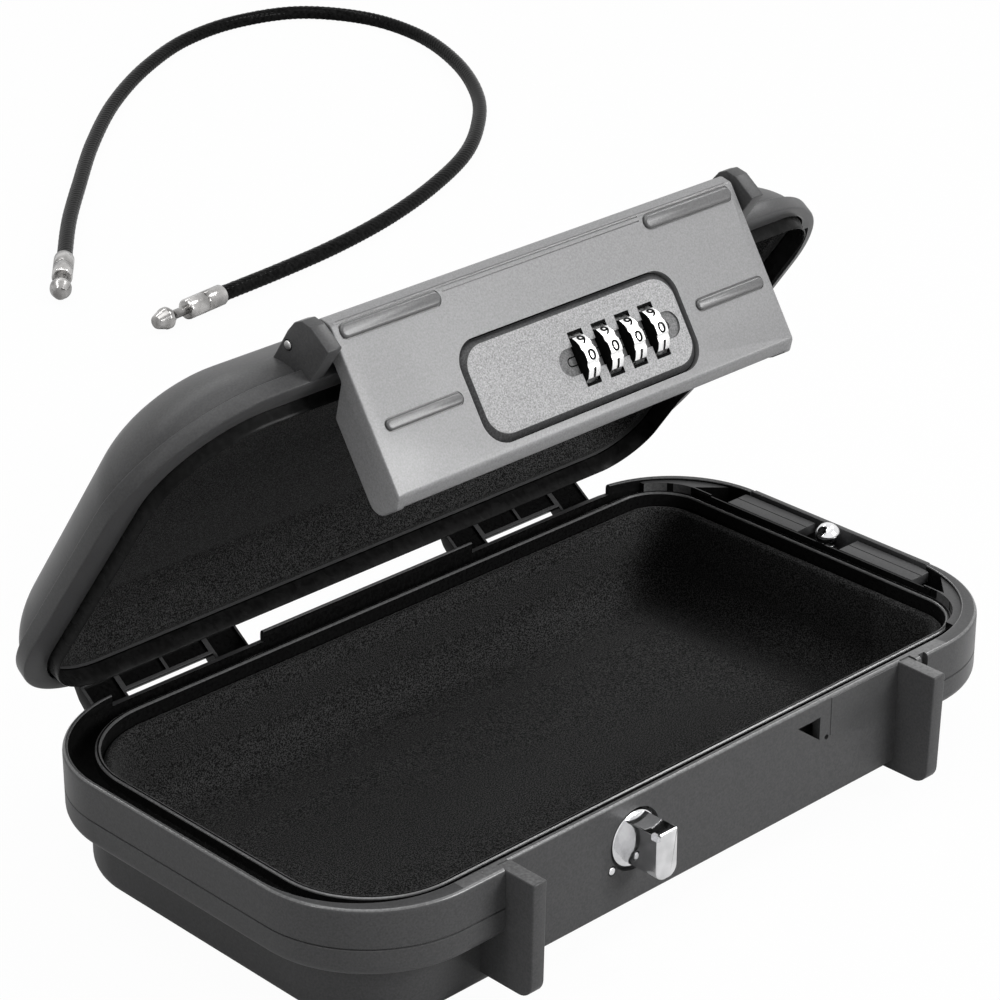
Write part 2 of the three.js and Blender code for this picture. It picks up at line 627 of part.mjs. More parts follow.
place(safe, 'catch_washer', cut(rod('y', WASHER_R, ...WASHER_Y, [CATCH_X, CATCH_Z], 32), studBore), steel);
place(safe, 'catch_nut', cut(rod('y', NUT_R, ...NUT_Y, [CATCH_X, CATCH_Z], 6), studBore), steel);
place(safe, 'catch_key', rod('y', KEY_R, PANEL_Y - 0.2, PANEL_Y + PANEL_T, [KEY_X, KEY_Z], 16), steel);

// Hinge pins: one steel pin to each rear hinge
const hingePin = (x) => rod('x', HINGE_PIN_R, x - HINGE_ARM_OUT, x + HINGE_ARM_OUT, [HINGE_Y, HINGE_Z]);
place(safe, 'hinge_pin_left', hingePin(-HINGE_X), steel);
place(safe, 'hinge_pin_right', hingePin(HINGE_X), steel);

// Lid shell: a thin collar under a domed roof, with the hinge arms behind and the cover's ears in front
const lidPlan = {
  xMin: -HALF_L, xMax: HALF_L, yMin: LID_FRONT, yMax: LID_REAR,
  radii: [LID_CORNER_R, LID_CORNER_R, LID_CORNER_R, LID_CORNER_R],
};
const LID_COLLAR_Z = LID_RIM_Z + LID_COLLAR_H;
const LID_TOP_Z = LID_RIM_Z + LID_HEIGHT;

// The roof is a little higher at the latch side: height at y for a point at share s of the dome's rise
const tapered = (z) => (y) => z - LID_TAPER * ((y - LID_Y) / (LID_DEPTH / 2))
  * Math.max(z - LID_COLLAR_Z, 0) / (LID_TOP_Z - LID_COLLAR_Z);

function domeRings(steps) {
  const rings = [];
  for (let i = 0; i <= steps; i++) {
    const angle = (Math.PI / 2) * (i / steps);
    const inset = LID_LEDGE + LID_SHOULDER * (1 - Math.cos(angle) ** LID_CURVE);
    const z = LID_COLLAR_Z + (LID_TOP_Z - LID_COLLAR_Z) * Math.sin(angle) ** LID_CURVE;
    rings.push(planRing(lidPlan, inset, tapered(z)));
  }
  return rings;
}

const LID_HOLLOW_TOP = LID_TOP_Z - LID_ROOF_T;
const lidCavityRings = [
  [0, LID_RIM_Z - 1], [0, LID_HOLLOW_TOP - 11.7], [1.5, LID_HOLLOW_TOP - 7.8], [4.5, LID_HOLLOW_TOP - 3.8],
  [10.5, LID_HOLLOW_TOP],
];

function lidShell() {
  const body = loft([
    planRing(lidPlan, 0, LID_RIM_Z),
    planRing(lidPlan, 0, LID_COLLAR_Z - 0.5),
    planRing(lidPlan, 0.5, LID_COLLAR_Z - 0.1),
    ...domeRings(7),
  ]);
  const earRoot = LID_FRONT + 7;
  const earShape = shapeOf([
    [earRoot, LID_RIM_Z + GAP], [FIN_FRONT, LID_RIM_Z + GAP], [FIN_FRONT, COVER_PIN_Z - 2.8],
    [FIN_FRONT + 1.4, COVER_PIN_Z + 0.4], [COVER_PIN_Y - 6.8, EAR_TOP - 0.4], [COVER_PIN_Y - 3, EAR_TOP],
    [earRoot + 2, EAR_TOP - 0.6], [earRoot + 2, LID_COLLAR_Z],
  ]);
  const ears = [prismX(earShape, -FIN_OUT, -FIN_IN), prismX(earShape, FIN_IN, FIN_OUT)];
  const webY = HALF_D + HINGE_BACK_GAP;
  const barRoot = LID_REAR - 1;
  const barZ = LID_RIM_Z + 0.2;
  const armShape = shapeOf([
    [HINGE_Y - HINGE_EYE_R, HINGE_Z], [HINGE_Y + HINGE_EYE_R, HINGE_Z], [webY + HINGE_WEB_T + 2, LID_RIM_Z - 1.5],
    [webY + 1.2, LID_COLLAR_Z], [barRoot, LID_COLLAR_Z], [barRoot, barZ], [webY, barZ],
  ]);
  const webShape = shapeOf([
    [webY, HINGE_WEB_Z], [webY + HINGE_WEB_T, HINGE_WEB_Z], [webY + HINGE_WEB_T + 0.2, LID_COLLAR_Z - 1.2],
    [webY + 0.6, LID_COLLAR_Z], [barRoot, LID_COLLAR_Z], [barRoot, barZ], [webY, barZ],
  ]);
  const hinges = [];
  for (const middle of [-HINGE_X, HINGE_X]) {
    hinges.push(prismX(webShape, middle - HINGE_ARM_OUT, middle + HINGE_ARM_OUT));
    for (const x0 of [middle - HINGE_ARM_OUT, middle + HINGE_ARM_IN]) {
      const x1 = x0 + HINGE_ARM_OUT - HINGE_ARM_IN;
      hinges.push(prismX(armShape, x0, x1));
      hinges.push(rod('x', HINGE_EYE_R, x0, x1, [HINGE_Y, HINGE_Z]));
    }
  }
  const cavity = loft(lidCavityRings.map(([inset, z]) => planRing(CAVITY, inset, tapered(z))));
  const gasketGroove = cut(
    slab(grown(gasketPlan, GASKET_W + 0.4), 0, LID_RIM_Z - 1, LID_RIM_Z + GASKET_SEAT + 0.3),
    slab(grown(gasketPlan, -0.2), 0, LID_RIM_Z - 2, LID_RIM_Z + GASKET_SEAT + 1));
  const endPocket = box(
    CHAMBER.xMin + 0.7, CHAMBER.xMax, CHAMBER.yMin + 1, CHAMBER.yMax + 1, LID_RIM_Z - 1, LID_POCKET_TOP)
    .intersect(slab(lidPlan, LID_WALL, LID_RIM_Z - 2, LID_POCKET_TOP + 1));
  const earBores = rod('x', COVER_PIN_R + PIN_FIT, -FIN_OUT - 1, FIN_OUT + 1, [COVER_PIN_Y, COVER_PIN_Z]);
  const hingeBores = rod('x', HINGE_PIN_R + PIN_FIT, -HALF_L, HALF_L, [HINGE_Y, HINGE_Z]);
  return cut(join(body, ...ears, ...hinges), cavity, gasketGroove, endPocket, earBores, hingeBores);
}

// Lid gasket: a rubber ring that comes down on the base's ridge
const gasketPlan = grown(CAVITY, 0.2);
const gasketOutline = grown(gasketPlan, GASKET_W);
const lidGasket = cut(
  loft([
    planRing(gasketOutline, GASKET_BEVEL[0], RIDGE_Z + GAP),
    planRing(gasketOutline, 0, RIDGE_Z + GAP + GASKET_BEVEL[1]),
    planRing(gasketOutline, 0, LID_RIM_Z + GASKET_SEAT),
  ]),
  slab(gasketPlan, 0, RIDGE_Z - 1, LID_RIM_Z + GASKET_SEAT + 1));
place(lidGroup, 'lid_shell', lidShell(), plastic);
place(lidGroup, 'lid_gasket', lidGasket, rubber);

// Lid liner: a foam pad that follows the inside of the roof
const LID_LINER_T = 2.5;
const LID_LINER_RIM = LID_RIM_Z + 3;
function lidLiner() {
  const padRings = (shift, drop, top) => lidCavityRings.map(([inset, z], i) => {
    const height = i === 0 ? top : z - drop;
    return planRing(CAVITY, inset + shift, tapered(Math.max(height, top)));
  });
  const outer = loft(padRings(GAP, GAP + 0.1, LID_LINER_RIM));
  const inner = loft(padRings(GAP + LID_LINER_T, GAP + LID_LINER_T, LID_LINER_RIM - 1));
  return cut(outer, inner);
}
place(lidGroup, 'lid_liner', lidLiner(), foam);

// Cover pin: one long pin through both ears and the cover's barrel
place(lidGroup, 'cover_pin', rod('x', COVER_PIN_R, -FIN_OUT, FIN_OUT, [COVER_PIN_Y, COVER_PIN_Z]), steel);

// Latch cover: a deep flap whose barrel turns on the cover pin and whose open back closes over the catch
function latchCover() {
  const coverSkin = shapeOf([
    [COVER_FACE + BOTTOM_BEVEL, COVER_BOTTOM], [COVER_FACE, COVER_BOTTOM + BOTTOM_BEVEL],
    [COVER_FACE, COVER_TOP - COVER_TOP_DROP], [COVER_FACE + COVER_TOP_DROP, COVER_TOP], [COVER_PIN_Y, COVER_TOP],
    [COVER_PIN_Y, COVER_PIN_Z - COVER_BARREL_R], [COVER_PIN_Y - 1.5, COVER_PIN_Z - COVER_BARREL_R],
    [COVER_PIN_Y - 2.8, COVER_PIN_Z - 1], [COVER_FACE + 3.4, COVER_TOP - 2.2],
    [COVER_FACE + COVER_WALL, COVER_TOP - 3.6], [COVER_FACE + COVER_WALL, COVER_BOTTOM + 4],
    [COVER_FACE + BOTTOM_BEVEL + 1.6, COVER_BOTTOM + 1.2],
  ]);
  const heel = 4;
  const side = new THREE.Shape();
  side.moveTo(COVER_FACE + BOTTOM_BEVEL, COVER_BOTTOM);
  side.lineTo(COVER_BACK - heel, COVER_BOTTOM);
  side.absarc(COVER_BACK - heel, COVER_BOTTOM + heel, heel, -Math.PI / 2, 0);
  side.lineTo(COVER_BACK, COVER_STEP_LOW);
  side.lineTo(COVER_STEP_Y, COVER_STEP_TOP);
  side.lineTo(COVER_STEP_Y, COVER_PIN_Z - COVER_BARREL_R - 5);
  side.lineTo(COVER_PIN_Y - 1, COVER_PIN_Z - COVER_BARREL_R);
  side.lineTo(COVER_PIN_Y, COVER_TOP);
  side.lineTo(COVER_FACE + COVER_TOP_DROP, COVER_TOP);
  side.lineTo(COVER_FACE, COVER_TOP - COVER_TOP_DROP);
  side.lineTo(COVER_FACE, COVER_BOTTOM + BOTTOM_BEVEL);
  const sides = [
    prismX(side, -COVER_HALF_W, -COVER_HALF_W + COVER_SIDE),
    prismX(side, COVER_HALF_W - COVER_SIDE, COVER_HALF_W),
  ];
  const barrel = rod('x', COVER_BARREL_R, -COVER_HALF_W, COVER_HALF_W, [COVER_PIN_Y, COVER_PIN_Z]);
  const raised = (z, half, proud) => ([x0, x1]) => prismY(
    roundedRect(x0, x1, z - half, z + half, half - 0.01), COVER_FACE - proud, COVER_FACE + 0.5, 4);
  const ribs = [
    ...RIB_X.map(raised(RIB_Z, RIB_HALF, RIB_PROUD)),
    ...BEAD_X.map(raised(BEAD_Z, BEAD_HALF, BEAD_PROUD)),
  ];
  const opening = prismY(
    roundedRect(-LOCK_HALF_W - GAP, LOCK_HALF_W + GAP, LOCK_Z[0] - GAP, LOCK_Z[1] + GAP, LOCK_R),
    COVER_FACE - 1, COVER_FACE + COVER_WALL + 1.5, 5);
  const bore = rod('x', COVER_PIN_R + PIN_FIT, -FIN_IN, FIN_IN, [COVER_PIN_Y, COVER_PIN_Z]);
  const screwHoles = screwPlaces.map(
    ([x, z]) => rod('y', SCREW_R + PIN_FIT, COVER_FACE + 0.7, COVER_FACE + 4, [x, z], 12));
  const body = join(prismX(coverSkin, -COVER_HALF_W, COVER_HALF_W), ...sides, barrel, ...ribs);
  return cut(body, opening, bore, ...screwHoles);
}

// Housing screws: four, through the housing's tabs into the back of the cover's face
const SCREW_R = 1;
const SCREW_HEAD_R = 2.1;
const TAB_T = 1.6;
const SCREW_X = LOCK_HALF_W + 3.6;
const SCREW_Z = [14, 31];
const screwPlaces = [-SCREW_X, SCREW_X].flatMap((x) => SCREW_Z.map((z) => [x, z]));
place(coverGroup, 'latch_cover', latchCover(), coverPlastic);

// Lock panel: the textured plate in the cover's face, with the dial windows
const dialX = Array.from({ length: DIAL_COUNT }, (_, i) => DIAL_FIRST + i * DIAL_PITCH);
function lockPanel() {
  const plate = prismY(
    roundedRect(-LOCK_HALF_W, LOCK_HALF_W, LOCK_Z[0], LOCK_Z[1], LOCK_R), LOCK_FACE, LOCK_FACE + LOCK_T, 5);
  const slot = prismY(
    roundedRect(
      dialX[0] - SLOT_LEFT, dialX[DIAL_COUNT - 1] + SLOT_RIGHT, DIAL_Z - SLOT_HALF, DIAL_Z + SLOT_HALF, SLOT_R),
    LOCK_FACE - 1, LOCK_FACE + 0.5, 5);
  const windows = dialX.map((x) => box(x - WINDOW_W / 2, x + WINDOW_W / 2, LOCK_FACE - 1, LOCK_FACE + LOCK_T + 1,
    DIAL_Z - WINDOW_H / 2, DIAL_Z + WINDOW_H / 2));
  const relief = box(TONGUE_X[0] - 0.6, TONGUE_X[1] + 0.6, LOCK_FACE + TONGUE_RELIEF, LOCK_FACE + LOCK_T + 1,
    LOCK_Z[0] + 2, TONGUE_Z[1] + 0.7);
  return cut(plate, slot, relief, ...windows);
}
place(coverGroup, 'lock_panel', lockPanel(), lockPlastic);

// Lock housing: carries the dial axle and the bolt, open behind the dials and round the catch's tongue
const DIAL_BAY = [dialX[0] - 4.8, dialX[DIAL_COUNT - 1] + 4.8];
const TONGUE_BAY = [TONGUE_X[0] - 1.4, TONGUE_X[1] + 1.4];
const BOLT_BAY = [TONGUE_BAY[1] + 1.8, DIAL_BAY[0] - 1.8];
function lockHousing() {
  const body = prismX(shapeOf([
    [HOUSING_Y[0], HOUSING_Z[0]], [HOUSING_Y[1], HOUSING_Z[0]], [HOUSING_Y[1], HOUSING_Z[1] - HOUSING_BEVEL[1]],
    [HOUSING_Y[1] - HOUSING_BEVEL[0], HOUSING_Z[1]], [HOUSING_Y[0], HOUSING_Z[1]],
  ]), ...HOUSING_X);
  const dialBay = box(...DIAL_BAY, HOUSING_Y[0] - 1, HOUSING_Y[1] + 1, HOUSING_Z[0] + 1.8, HOUSING_Z[1] - 1.6);
  const tongueBay = box(...TONGUE_BAY, HOUSING_Y[0] - 1, HOUSING_Y[1] + 1, HOUSING_Z[0] - 1, TONGUE_Z[1] + 0.7);
  const boltBay = box(...BOLT_BAY, HOUSING_Y[0] - 1, BOLT_Y[1] + GAP, BOLT_Z[0] - GAP, BOLT_Z[1] + GAP);
  const boltPort = box(TONGUE_BAY[1] - 1, BOLT_BAY[0] + 1, BOLT_Y[0] - GAP, BOLT_Y[1] + GAP,
    BOLT_Z[0] - GAP, BOLT_Z[1] + GAP);
  const axleBore = rod('x', AXLE_R + PIN_FIT, DIAL_BAY[0] - 1.8, HOUSING_X[1] + 1, [AXLE_Y, DIAL_Z]);
  const tabs = screwPlaces.map(([x, z]) => {
    const inner = x < 0 ? HOUSING_X[0] : HOUSING_X[1];
    const outer = x + Math.sign(x) * 3;
    return box(Math.min(inner, outer), Math.max(inner, outer), HOUSING_Y[0], HOUSING_Y[0] + TAB_T, z - 3, z + 3);
  });
  const tabHoles = screwPlaces.map(
    ([x, z]) => rod('y', SCREW_R + PIN_FIT, HOUSING_Y[0] - 1, HOUSING_Y[0] + 3, [x, z], 12));
  return cut(join(body, ...tabs), dialBay, tongueBay, boltBay, boltPort, axleBore, ...tabHoles);
}
place(coverGroup, 'lock_housing', lockHousing(), innerPlastic);

screwPlaces.forEach(([x, z], i) => {
  const seat = HOUSING_Y[0] + TAB_T + 0.2;
  place(coverGroup, `housing_screw_${i + 1}`, join(
    rod('y', SCREW_R, COVER_FACE + 1, seat + 0.3, [x, z], 12),
    rod('y', SCREW_HEAD_R, seat, seat + 1.4, [x, z], 16)), steel);
});

// Dials: four plated wheels with ten lobes each, on sleeves that turn on one axle
place(coverGroup, 'dial_axle', rod('x', AXLE_R, DIAL_BAY[0] - 1.6, HOUSING_X[1], [AXLE_Y, DIAL_Z], 20), steel);
function dialWheel(x) {
  const points = [];
  const perLobe = 6;
  for (let i = 0; i < DIAL_LOBES * perLobe; i++) {
    const angle = (2 * Math.PI * i) / (DIAL_LOBES * perLobe);
    const radius = DIAL_R - 0.35 * (1 - Math.cos(DIAL_LOBES * angle)) / 2;
    points.push([AXLE_Y - radius * Math.cos(angle), DIAL_Z + radius * Math.sin(angle)]);
  }
  return cut(
    prismX(shapeOf(points), x - DIAL_W / 2, x + DIAL_W / 2),
    rod('x', DIAL_BORE_R, x - DIAL_W, x + DIAL_W, [AXLE_Y, DIAL_Z]));
}
function dialSleeve(x) {
  return cut(
    rod('x', DIAL_BORE_R - 0.3, x - 3.3, x + 3.3, [AXLE_Y, DIAL_Z]),
    rod('x', AXLE_R + PIN_FIT, x - 5, x + 5, [AXLE_Y, DIAL_Z], 20));
}
dialX.forEach((x, i) => {
  place(coverGroup, `dial_${i + 1}`, dialWheel(x), chrome);
  place(coverGroup, `dial_sleeve_${i + 1}`, dialSleeve(x), steel);
});

// Detent spring: a leaf over the dials that clicks them from number to number
const LEAF_T = 0.4;
function detentSpring() {
  const top = HOUSING_Z[1] - 1.6 - GAP;
  const low = DIAL_Z + DIAL_R + GAP;
  const back = AXLE_Y + 2.8;
  const front = AXLE_Y - 2.2;
  const leaf = prismX(shapeOf([
    [back, top], [back, low], [front, low],
    [front, low + LEAF_T], [back - LEAF_T, low + LEAF_T], [back - LEAF_T, top],
  ]), dialX[0] - 3, dialX[DIAL_COUNT - 1] + 3);
  const slits = dialX.slice(1).map((x) => box(x - DIAL_PITCH / 2 - 0.8, x - DIAL_PITCH / 2 + 0.8,
    front - 1, back - 0.8, low - 1, top - 1));
  return cut(leaf, ...slits);
}
place(coverGroup, 'detent_spring', detentSpring(), steel);

// Bolt: slides along its bay towards the catch, with its spring behind it
const BOLT_X = [TONGUE_X[1] + BOLT_SETBACK, BOLT_BAY[1] - BOLT_SPRING_L];
place(coverGroup, 'latch_bolt', box(...BOLT_X, ...BOLT_Y, ...BOLT_Z), steel);
const latchSpring = coilSpring('latch_spring', 1.3, BOLT_SPRING_L - 2 * GAP, 3);
latchSpring.rotateY(Math.PI / 2);
latchSpring.translate(BOLT_X[1] + GAP, (BOLT_Y[0] + BOLT_Y[1]) / 2, (BOLT_Z[0] + BOLT_Z[1]) / 2);
place(coverGroup, 'latch_spring', latchSpring, steel);

// Cable: the coated rope, then a crimped ferrule and a turned locking head at each end
const FERRULE_Z = FERRULE_R + 0.1;
const HEAD_Z = HEAD_R + 0.1;
const cableHeight = (i) => {
  const fromEnd = Math.min(i, CABLE_ROUTE.length - 1 - i);
  return fromEnd < 1 ? HEAD_Z : CABLE_R + 0.1 + (fromEnd < 2 ? 0.4 : 0);
};
const cablePath = new THREE.CatmullRomCurve3(
  CABLE_ROUTE.map(([x, y], i) => new THREE.Vector3(x, y, cableHeight(i))), false, 'centripetal');

function cableRope() {
  return new THREE.ExtrudeGeometry(polygonSection(CABLE_R, CABLE_SIDES), {
    extrudePath: cablePath, steps: CABLE_STEPS, bevelEnabled: false,
  });
}
place(safe, 'cable', cableRope(), vinyl);

// Turned about the cable's own line at one of its ends, pointing away from the rope
function onCableEnd(atStart, profile) {
  const end = cablePath.getPoint(atStart ? 0 : 1);
  const along = cablePath.getTangent(atStart ? 0 : 1).setZ(0).normalize().multiplyScalar(atStart ? -1 : 1);
  const geometry = new THREE.LatheGeometry(profile.map(([r, d]) => new THREE.Vector2(r, d)), 24);
  const turn = new THREE.Quaternion().setFromUnitVectors(new THREE.Vector3(0, 1, 0), along);
  geometry.applyQuaternion(turn);
  geometry.translate(end.x, end.y, end.z);
  return solid(geometry);
}
const ferruleProfile = [
  [0, GAP + 0.2], [FERRULE_R - 0.3, GAP + 0.2], [FERRULE_R, GAP + 0.6], [FERRULE_R, FERRULE_L - 0.5],
  [FERRULE_R - 0.5, FERRULE_L], [0, FERRULE_L],
];
const HEAD_START = FERRULE_L + GAP;
const headProfile = [
  [0, HEAD_START], [NECK_R, HEAD_START], [NECK_R, HEAD_START + NECK_L],
  [HEAD_R, HEAD_START + NECK_L + 2.6], [HEAD_R, HEAD_START + NECK_L + 4.6],
  [1.6, HEAD_START + NECK_L + HEAD_L], [0, HEAD_START + NECK_L + HEAD_L],
];
for (const [letter, atStart] of [['a', true], ['b', false]]) {
  place(safe, `cable_ferrule_${letter}`, onCableEnd(atStart, ferruleProfile), chrome);
  place(safe, `cable_head_${letter}`, onCableEnd(atStart, headProfile), chrome);
}

export default safe;
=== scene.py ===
from math import radians

import bmesh
import bpy
import numpy as np
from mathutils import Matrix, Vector


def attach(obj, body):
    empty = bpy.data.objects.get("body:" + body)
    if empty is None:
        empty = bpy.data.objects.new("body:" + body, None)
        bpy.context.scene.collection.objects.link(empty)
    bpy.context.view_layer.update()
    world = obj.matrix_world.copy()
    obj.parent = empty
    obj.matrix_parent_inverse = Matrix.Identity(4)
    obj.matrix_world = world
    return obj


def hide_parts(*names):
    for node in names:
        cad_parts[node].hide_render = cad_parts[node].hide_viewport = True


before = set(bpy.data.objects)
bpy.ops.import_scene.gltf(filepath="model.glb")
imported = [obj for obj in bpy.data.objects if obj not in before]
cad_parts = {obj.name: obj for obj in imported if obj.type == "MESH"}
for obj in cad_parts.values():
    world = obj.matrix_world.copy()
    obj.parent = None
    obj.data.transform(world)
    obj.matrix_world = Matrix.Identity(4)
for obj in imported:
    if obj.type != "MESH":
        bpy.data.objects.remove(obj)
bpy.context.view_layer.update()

# Camera: a product shot from the left front, looking down by some 26 degrees, with a long lens so that
# the box hardly tapers.
LOOKS_DOWN = 25.65
LOOKS_RIGHT = 43.91
viewpoint = bpy.data.cameras.new("viewpoint")
viewpoint.lens = 124.5
viewpoint.sensor_width = 36
viewpoint.clip_end = 40
camera = bpy.data.objects.new("viewpoint", viewpoint)
camera.location = (-0.56877, -0.57686, 0.47769)
camera.rotation_euler = (radians(90 - LOOKS_DOWN), 0, radians(-LOOKS_RIGHT))
bpy.context.scene.collection.objects.link(camera)
bpy.context.scene.camera = camera

# Security cable: a twisted steel rope, 729 mm of it, drawn through a clear-black vinyl coat 6 mm across
# that lets the lay of the strands show. It lies loose behind the safe, in the arch it was unpacked in.
COAT_R = 3.0
COAT_DIP = 0.2
LAY_PITCH = 15.0
STRANDS = 6
CABLE_STEPS = 1300
FLOOR_GAP = 0.1
FITTING_R = 4.0
ROUTE = np.array([
    [142, 394], [168, 425], [195, 454], [229, 489], [267, 523], [306, 550], [342, 567], [374, 571],
    [402, 562], [418, 536], [419, 503], [405, 462], [380, 422], [355, 396], [328, 375], [293, 357],
    [258, 344], [225, 336], [194, 331], [162, 327]], float)
heights = np.full(len(ROUTE), COAT_R + FLOOR_GAP)
heights[[1, -2]] += 0.4
heights[[0, -1]] = FITTING_R + FLOOR_GAP
route = np.column_stack([ROUTE, heights])


def smooth_route(points, per_span=80):
    """Centripetal Catmull-Rom: between two points the line is a cubic whose end slopes come from the
    neighbours, weighted by the square roots of the distances."""
    padded = np.vstack([2 * points[0] - points[1], points, 2 * points[-1] - points[-2]])
    p0, p1, p2, p3 = padded[:-3], padded[1:-2], padded[2:-1], padded[3:]
    d0, d1, d2 = [np.linalg.norm(b - a, axis=1)[:, None] ** 0.5 for a, b in ((p0, p1), (p1, p2), (p2, p3))]
    leave = ((p1 - p0) / d0 - (p2 - p0) / (d0 + d1) + (p2 - p1) / d1) * d1
    arrive = ((p2 - p1) / d1 - (p3 - p1) / (d1 + d2) + (p3 - p2) / d2) * d1
    t = (np.arange(per_span) / per_span)[None, :, None]
    a, b, m, n = p1[:, None], p2[:, None], leave[:, None], arrive[:, None]
    line = a + m * t + (3 * (b - a) - 2 * m - n) * t**2 + (2 * (a - b) + m + n) * t**3
    return np.vstack([line.reshape(-1, 3), points[-1]])


def even_steps(line, count):
    """The same line at equal steps of its own length."""
    run = np.concatenate([[0], np.cumsum(np.linalg.norm(np.diff(line, axis=0), axis=1))])
    at = np.linspace(0, run[-1], count)
    return np.column_stack([np.interp(at, run, line[:, k]) for k in range(3)]), run[-1]


def ring_faces(count, around, endless):
    """Quads between neighbouring rings of points, and a flat face over each end unless they close up."""
    index = np.arange(count * around).reshape(count, around)
    low, high = (index, np.roll(index, -1, 0)) if endless else (index[:-1], index[1:])
    quads = np.stack([low, np.roll(low, -1, 1), np.roll(high, -1, 1), high], -1).reshape(-1, 4).tolist()
    return quads if endless else quads + [index[0][::-1].tolist(), index[-1].tolist()]


def solid(rings, endless=False):
    """A closed body through a stack of rings in millimetres, turned outward by the sign of its volume:
    the sum of the corner triple products of its triangles."""
    rings = np.asarray(rings, float)
    mesh = bpy.data.meshes.new("body")
    mesh.from_pydata((rings.reshape(-1, 3) * 0.001).tolist(), [],
                     ring_faces(len(rings), rings.shape[1], endless))
    mesh.update()
    mesh.calc_loop_triangles()
    corners = np.zeros(len(mesh.loop_triangles) * 3, np.int32)
    mesh.loop_triangles.foreach_get("vertices", corners)
    tri = rings.reshape(-1, 3)[corners].reshape(-1, 3, 3)
    if np.einsum("ij,ij->i", tri[:, 0], np.cross(tri[:, 1], tri[:, 2])).sum() < 0:
        mesh.flip_normals()
    body = bpy.data.objects.new("body", mesh)
    bpy.context.scene.collection.objects.link(body)
    return body


def finished(body, name, rides_on, materials, stands_for=(), crease=32):
    """Names a piece, smooths it up to its creases, and ties it to the body that carries it."""
    body.name = body.data.name = name
    body.data.materials.clear()
    for material in materials:
        body.data.materials.append(material)
    body.data.shade_smooth()
    body.data.set_sharp_from_angle(angle=radians(crease))
    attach(body, rides_on)
    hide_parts(*stands_for)
    return body


def nodes_of(name, colour, roughness, metallic=0.0):
    """A new material: its node tree, its shader and the Object coordinates that its patterns read."""
    material = bpy.data.materials.new(name)
    material.use_nodes = True
    tree = material.node_tree
    shader = tree.nodes["Principled BSDF"]
    shader.inputs["Base Color"].default_value = (*colour, 1)
    shader.inputs["Roughness"].default_value = roughness
    shader.inputs["Metallic"].default_value = metallic
    return material, tree, shader, tree.nodes.new("ShaderNodeTexCoord").outputs["Object"]


def noise(tree, source, scale, detail=2.0):
    """Cloudy noise of that many features to the metre."""
    node = tree.nodes.new("ShaderNodeTexNoise")
    node.inputs["Scale"].default_value = scale
    node.inputs["Detail"].default_value = detail
    tree.links.new(source, node.inputs["Vector"])
    return node.outputs["Fac"]


def spread(tree, source, low, high, start=0.35, end=0.65):
    """Maps the middle of a pattern on to a range."""
    node = tree.nodes.new("ShaderNodeMapRange")
    for socket, value in zip(("From Min", "From Max", "To Min", "To Max"), (start, end, low, high)):
        node.inputs[socket].default_value = value
    tree.links.new(source, node.inputs["Value"])
    return node.outputs["Result"]


def tinted(tree, shader, pattern, dark, light):
    """The colour runs from dark to light with a pattern."""
    node = tree.nodes.new("ShaderNodeMix")
    node.data_type = "RGBA"
    node.inputs["A"].default_value = (*dark, 1)
    node.inputs["B"].default_value = (*light, 1)
    tree.links.new(pattern, node.inputs["Factor"])
    tree.links.new(node.outputs["Result"], shader.inputs["Base Color"])


def raised(tree, shader, pattern, height, strength=1.0):
    """Lifts the surface by a pattern, height in millimetres."""
    node = tree.nodes.new("ShaderNodeBump")
    node.inputs["Strength"].default_value = strength
    node.inputs["Distance"].default_value = height * 0.001
    tree.links.new(pattern, node.inputs["Height"])
    tree.links.new(node.outputs["Normal"], shader.inputs["Normal"])


def surfaced(name, colour, roughness, metallic, gloss, tint, grain, specular=0.5):
    """A material whose roughness, tone and height each follow a noise of their own. Gloss is (features to
    the metre, detail, least, most), tint is (features, detail, dark, light), and grain is (features,
    height, strength)."""
    material, tree, shader, place = nodes_of(name, colour, roughness, metallic)
    tree.links.new(spread(tree, noise(tree, place, *gloss[:2]), *gloss[2:]), shader.inputs["Roughness"])
    tinted(tree, shader, spread(tree, noise(tree, place, *tint[:2]), 0, 1), *tint[2:])
    raised(tree, shader, noise(tree, place, grain[0]), *grain[1:])
    shader.inputs["Specular IOR Level"].default_value = specular
    return material


def tube(line, around, radius_at):
    """A tube round a line: each ring is a circle square to the line, with its own radius at each angle."""
    along = np.gradient(line, axis=0)
    along /= np.linalg.norm(along, axis=1)[:, None]
    side = np.cross([0, 0, 1], along)
    side /= np.linalg.norm(side, axis=1)[:, None]
    up = np.cross(along, side)
    angle = np.arange(around) * 2 * np.pi / around
    radius = radius_at(angle)
    return (line[:, None] + (radius * np.cos(angle))[..., None] * side[:, None]
            + (radius * np.sin(angle))[..., None] * up[:, None])


cable_line, cable_length = even_steps(smooth_route(route), CABLE_STEPS)
lay_turn = np.arange(CABLE_STEPS)[:, None] * cable_length / (CABLE_STEPS - 1) / LAY_PITCH * 2 * np.pi


def strand_radius(angle):
    """The coat dips between the strands, which wind once round the rope in each lay."""
    return COAT_R - COAT_DIP * np.abs(np.sin((angle[None, :] - lay_turn) * STRANDS / 2)) ** 0.7


coat = surfaced("vinyl_coat", (0.004, 0.004, 0.0045), 0.1, 0.0, gloss=(90, 2, 0.07, 0.13),
                tint=(700, 2, (0.003, 0.003, 0.003), (0.009, 0.009, 0.009)),
                grain=(1500, 0.01, 0.4), specular=0.025)
rope = solid(tube(cable_line, 30, strand_radius))
finished(rope, "cable_rope", "base", [coat], ["cable"], 60)

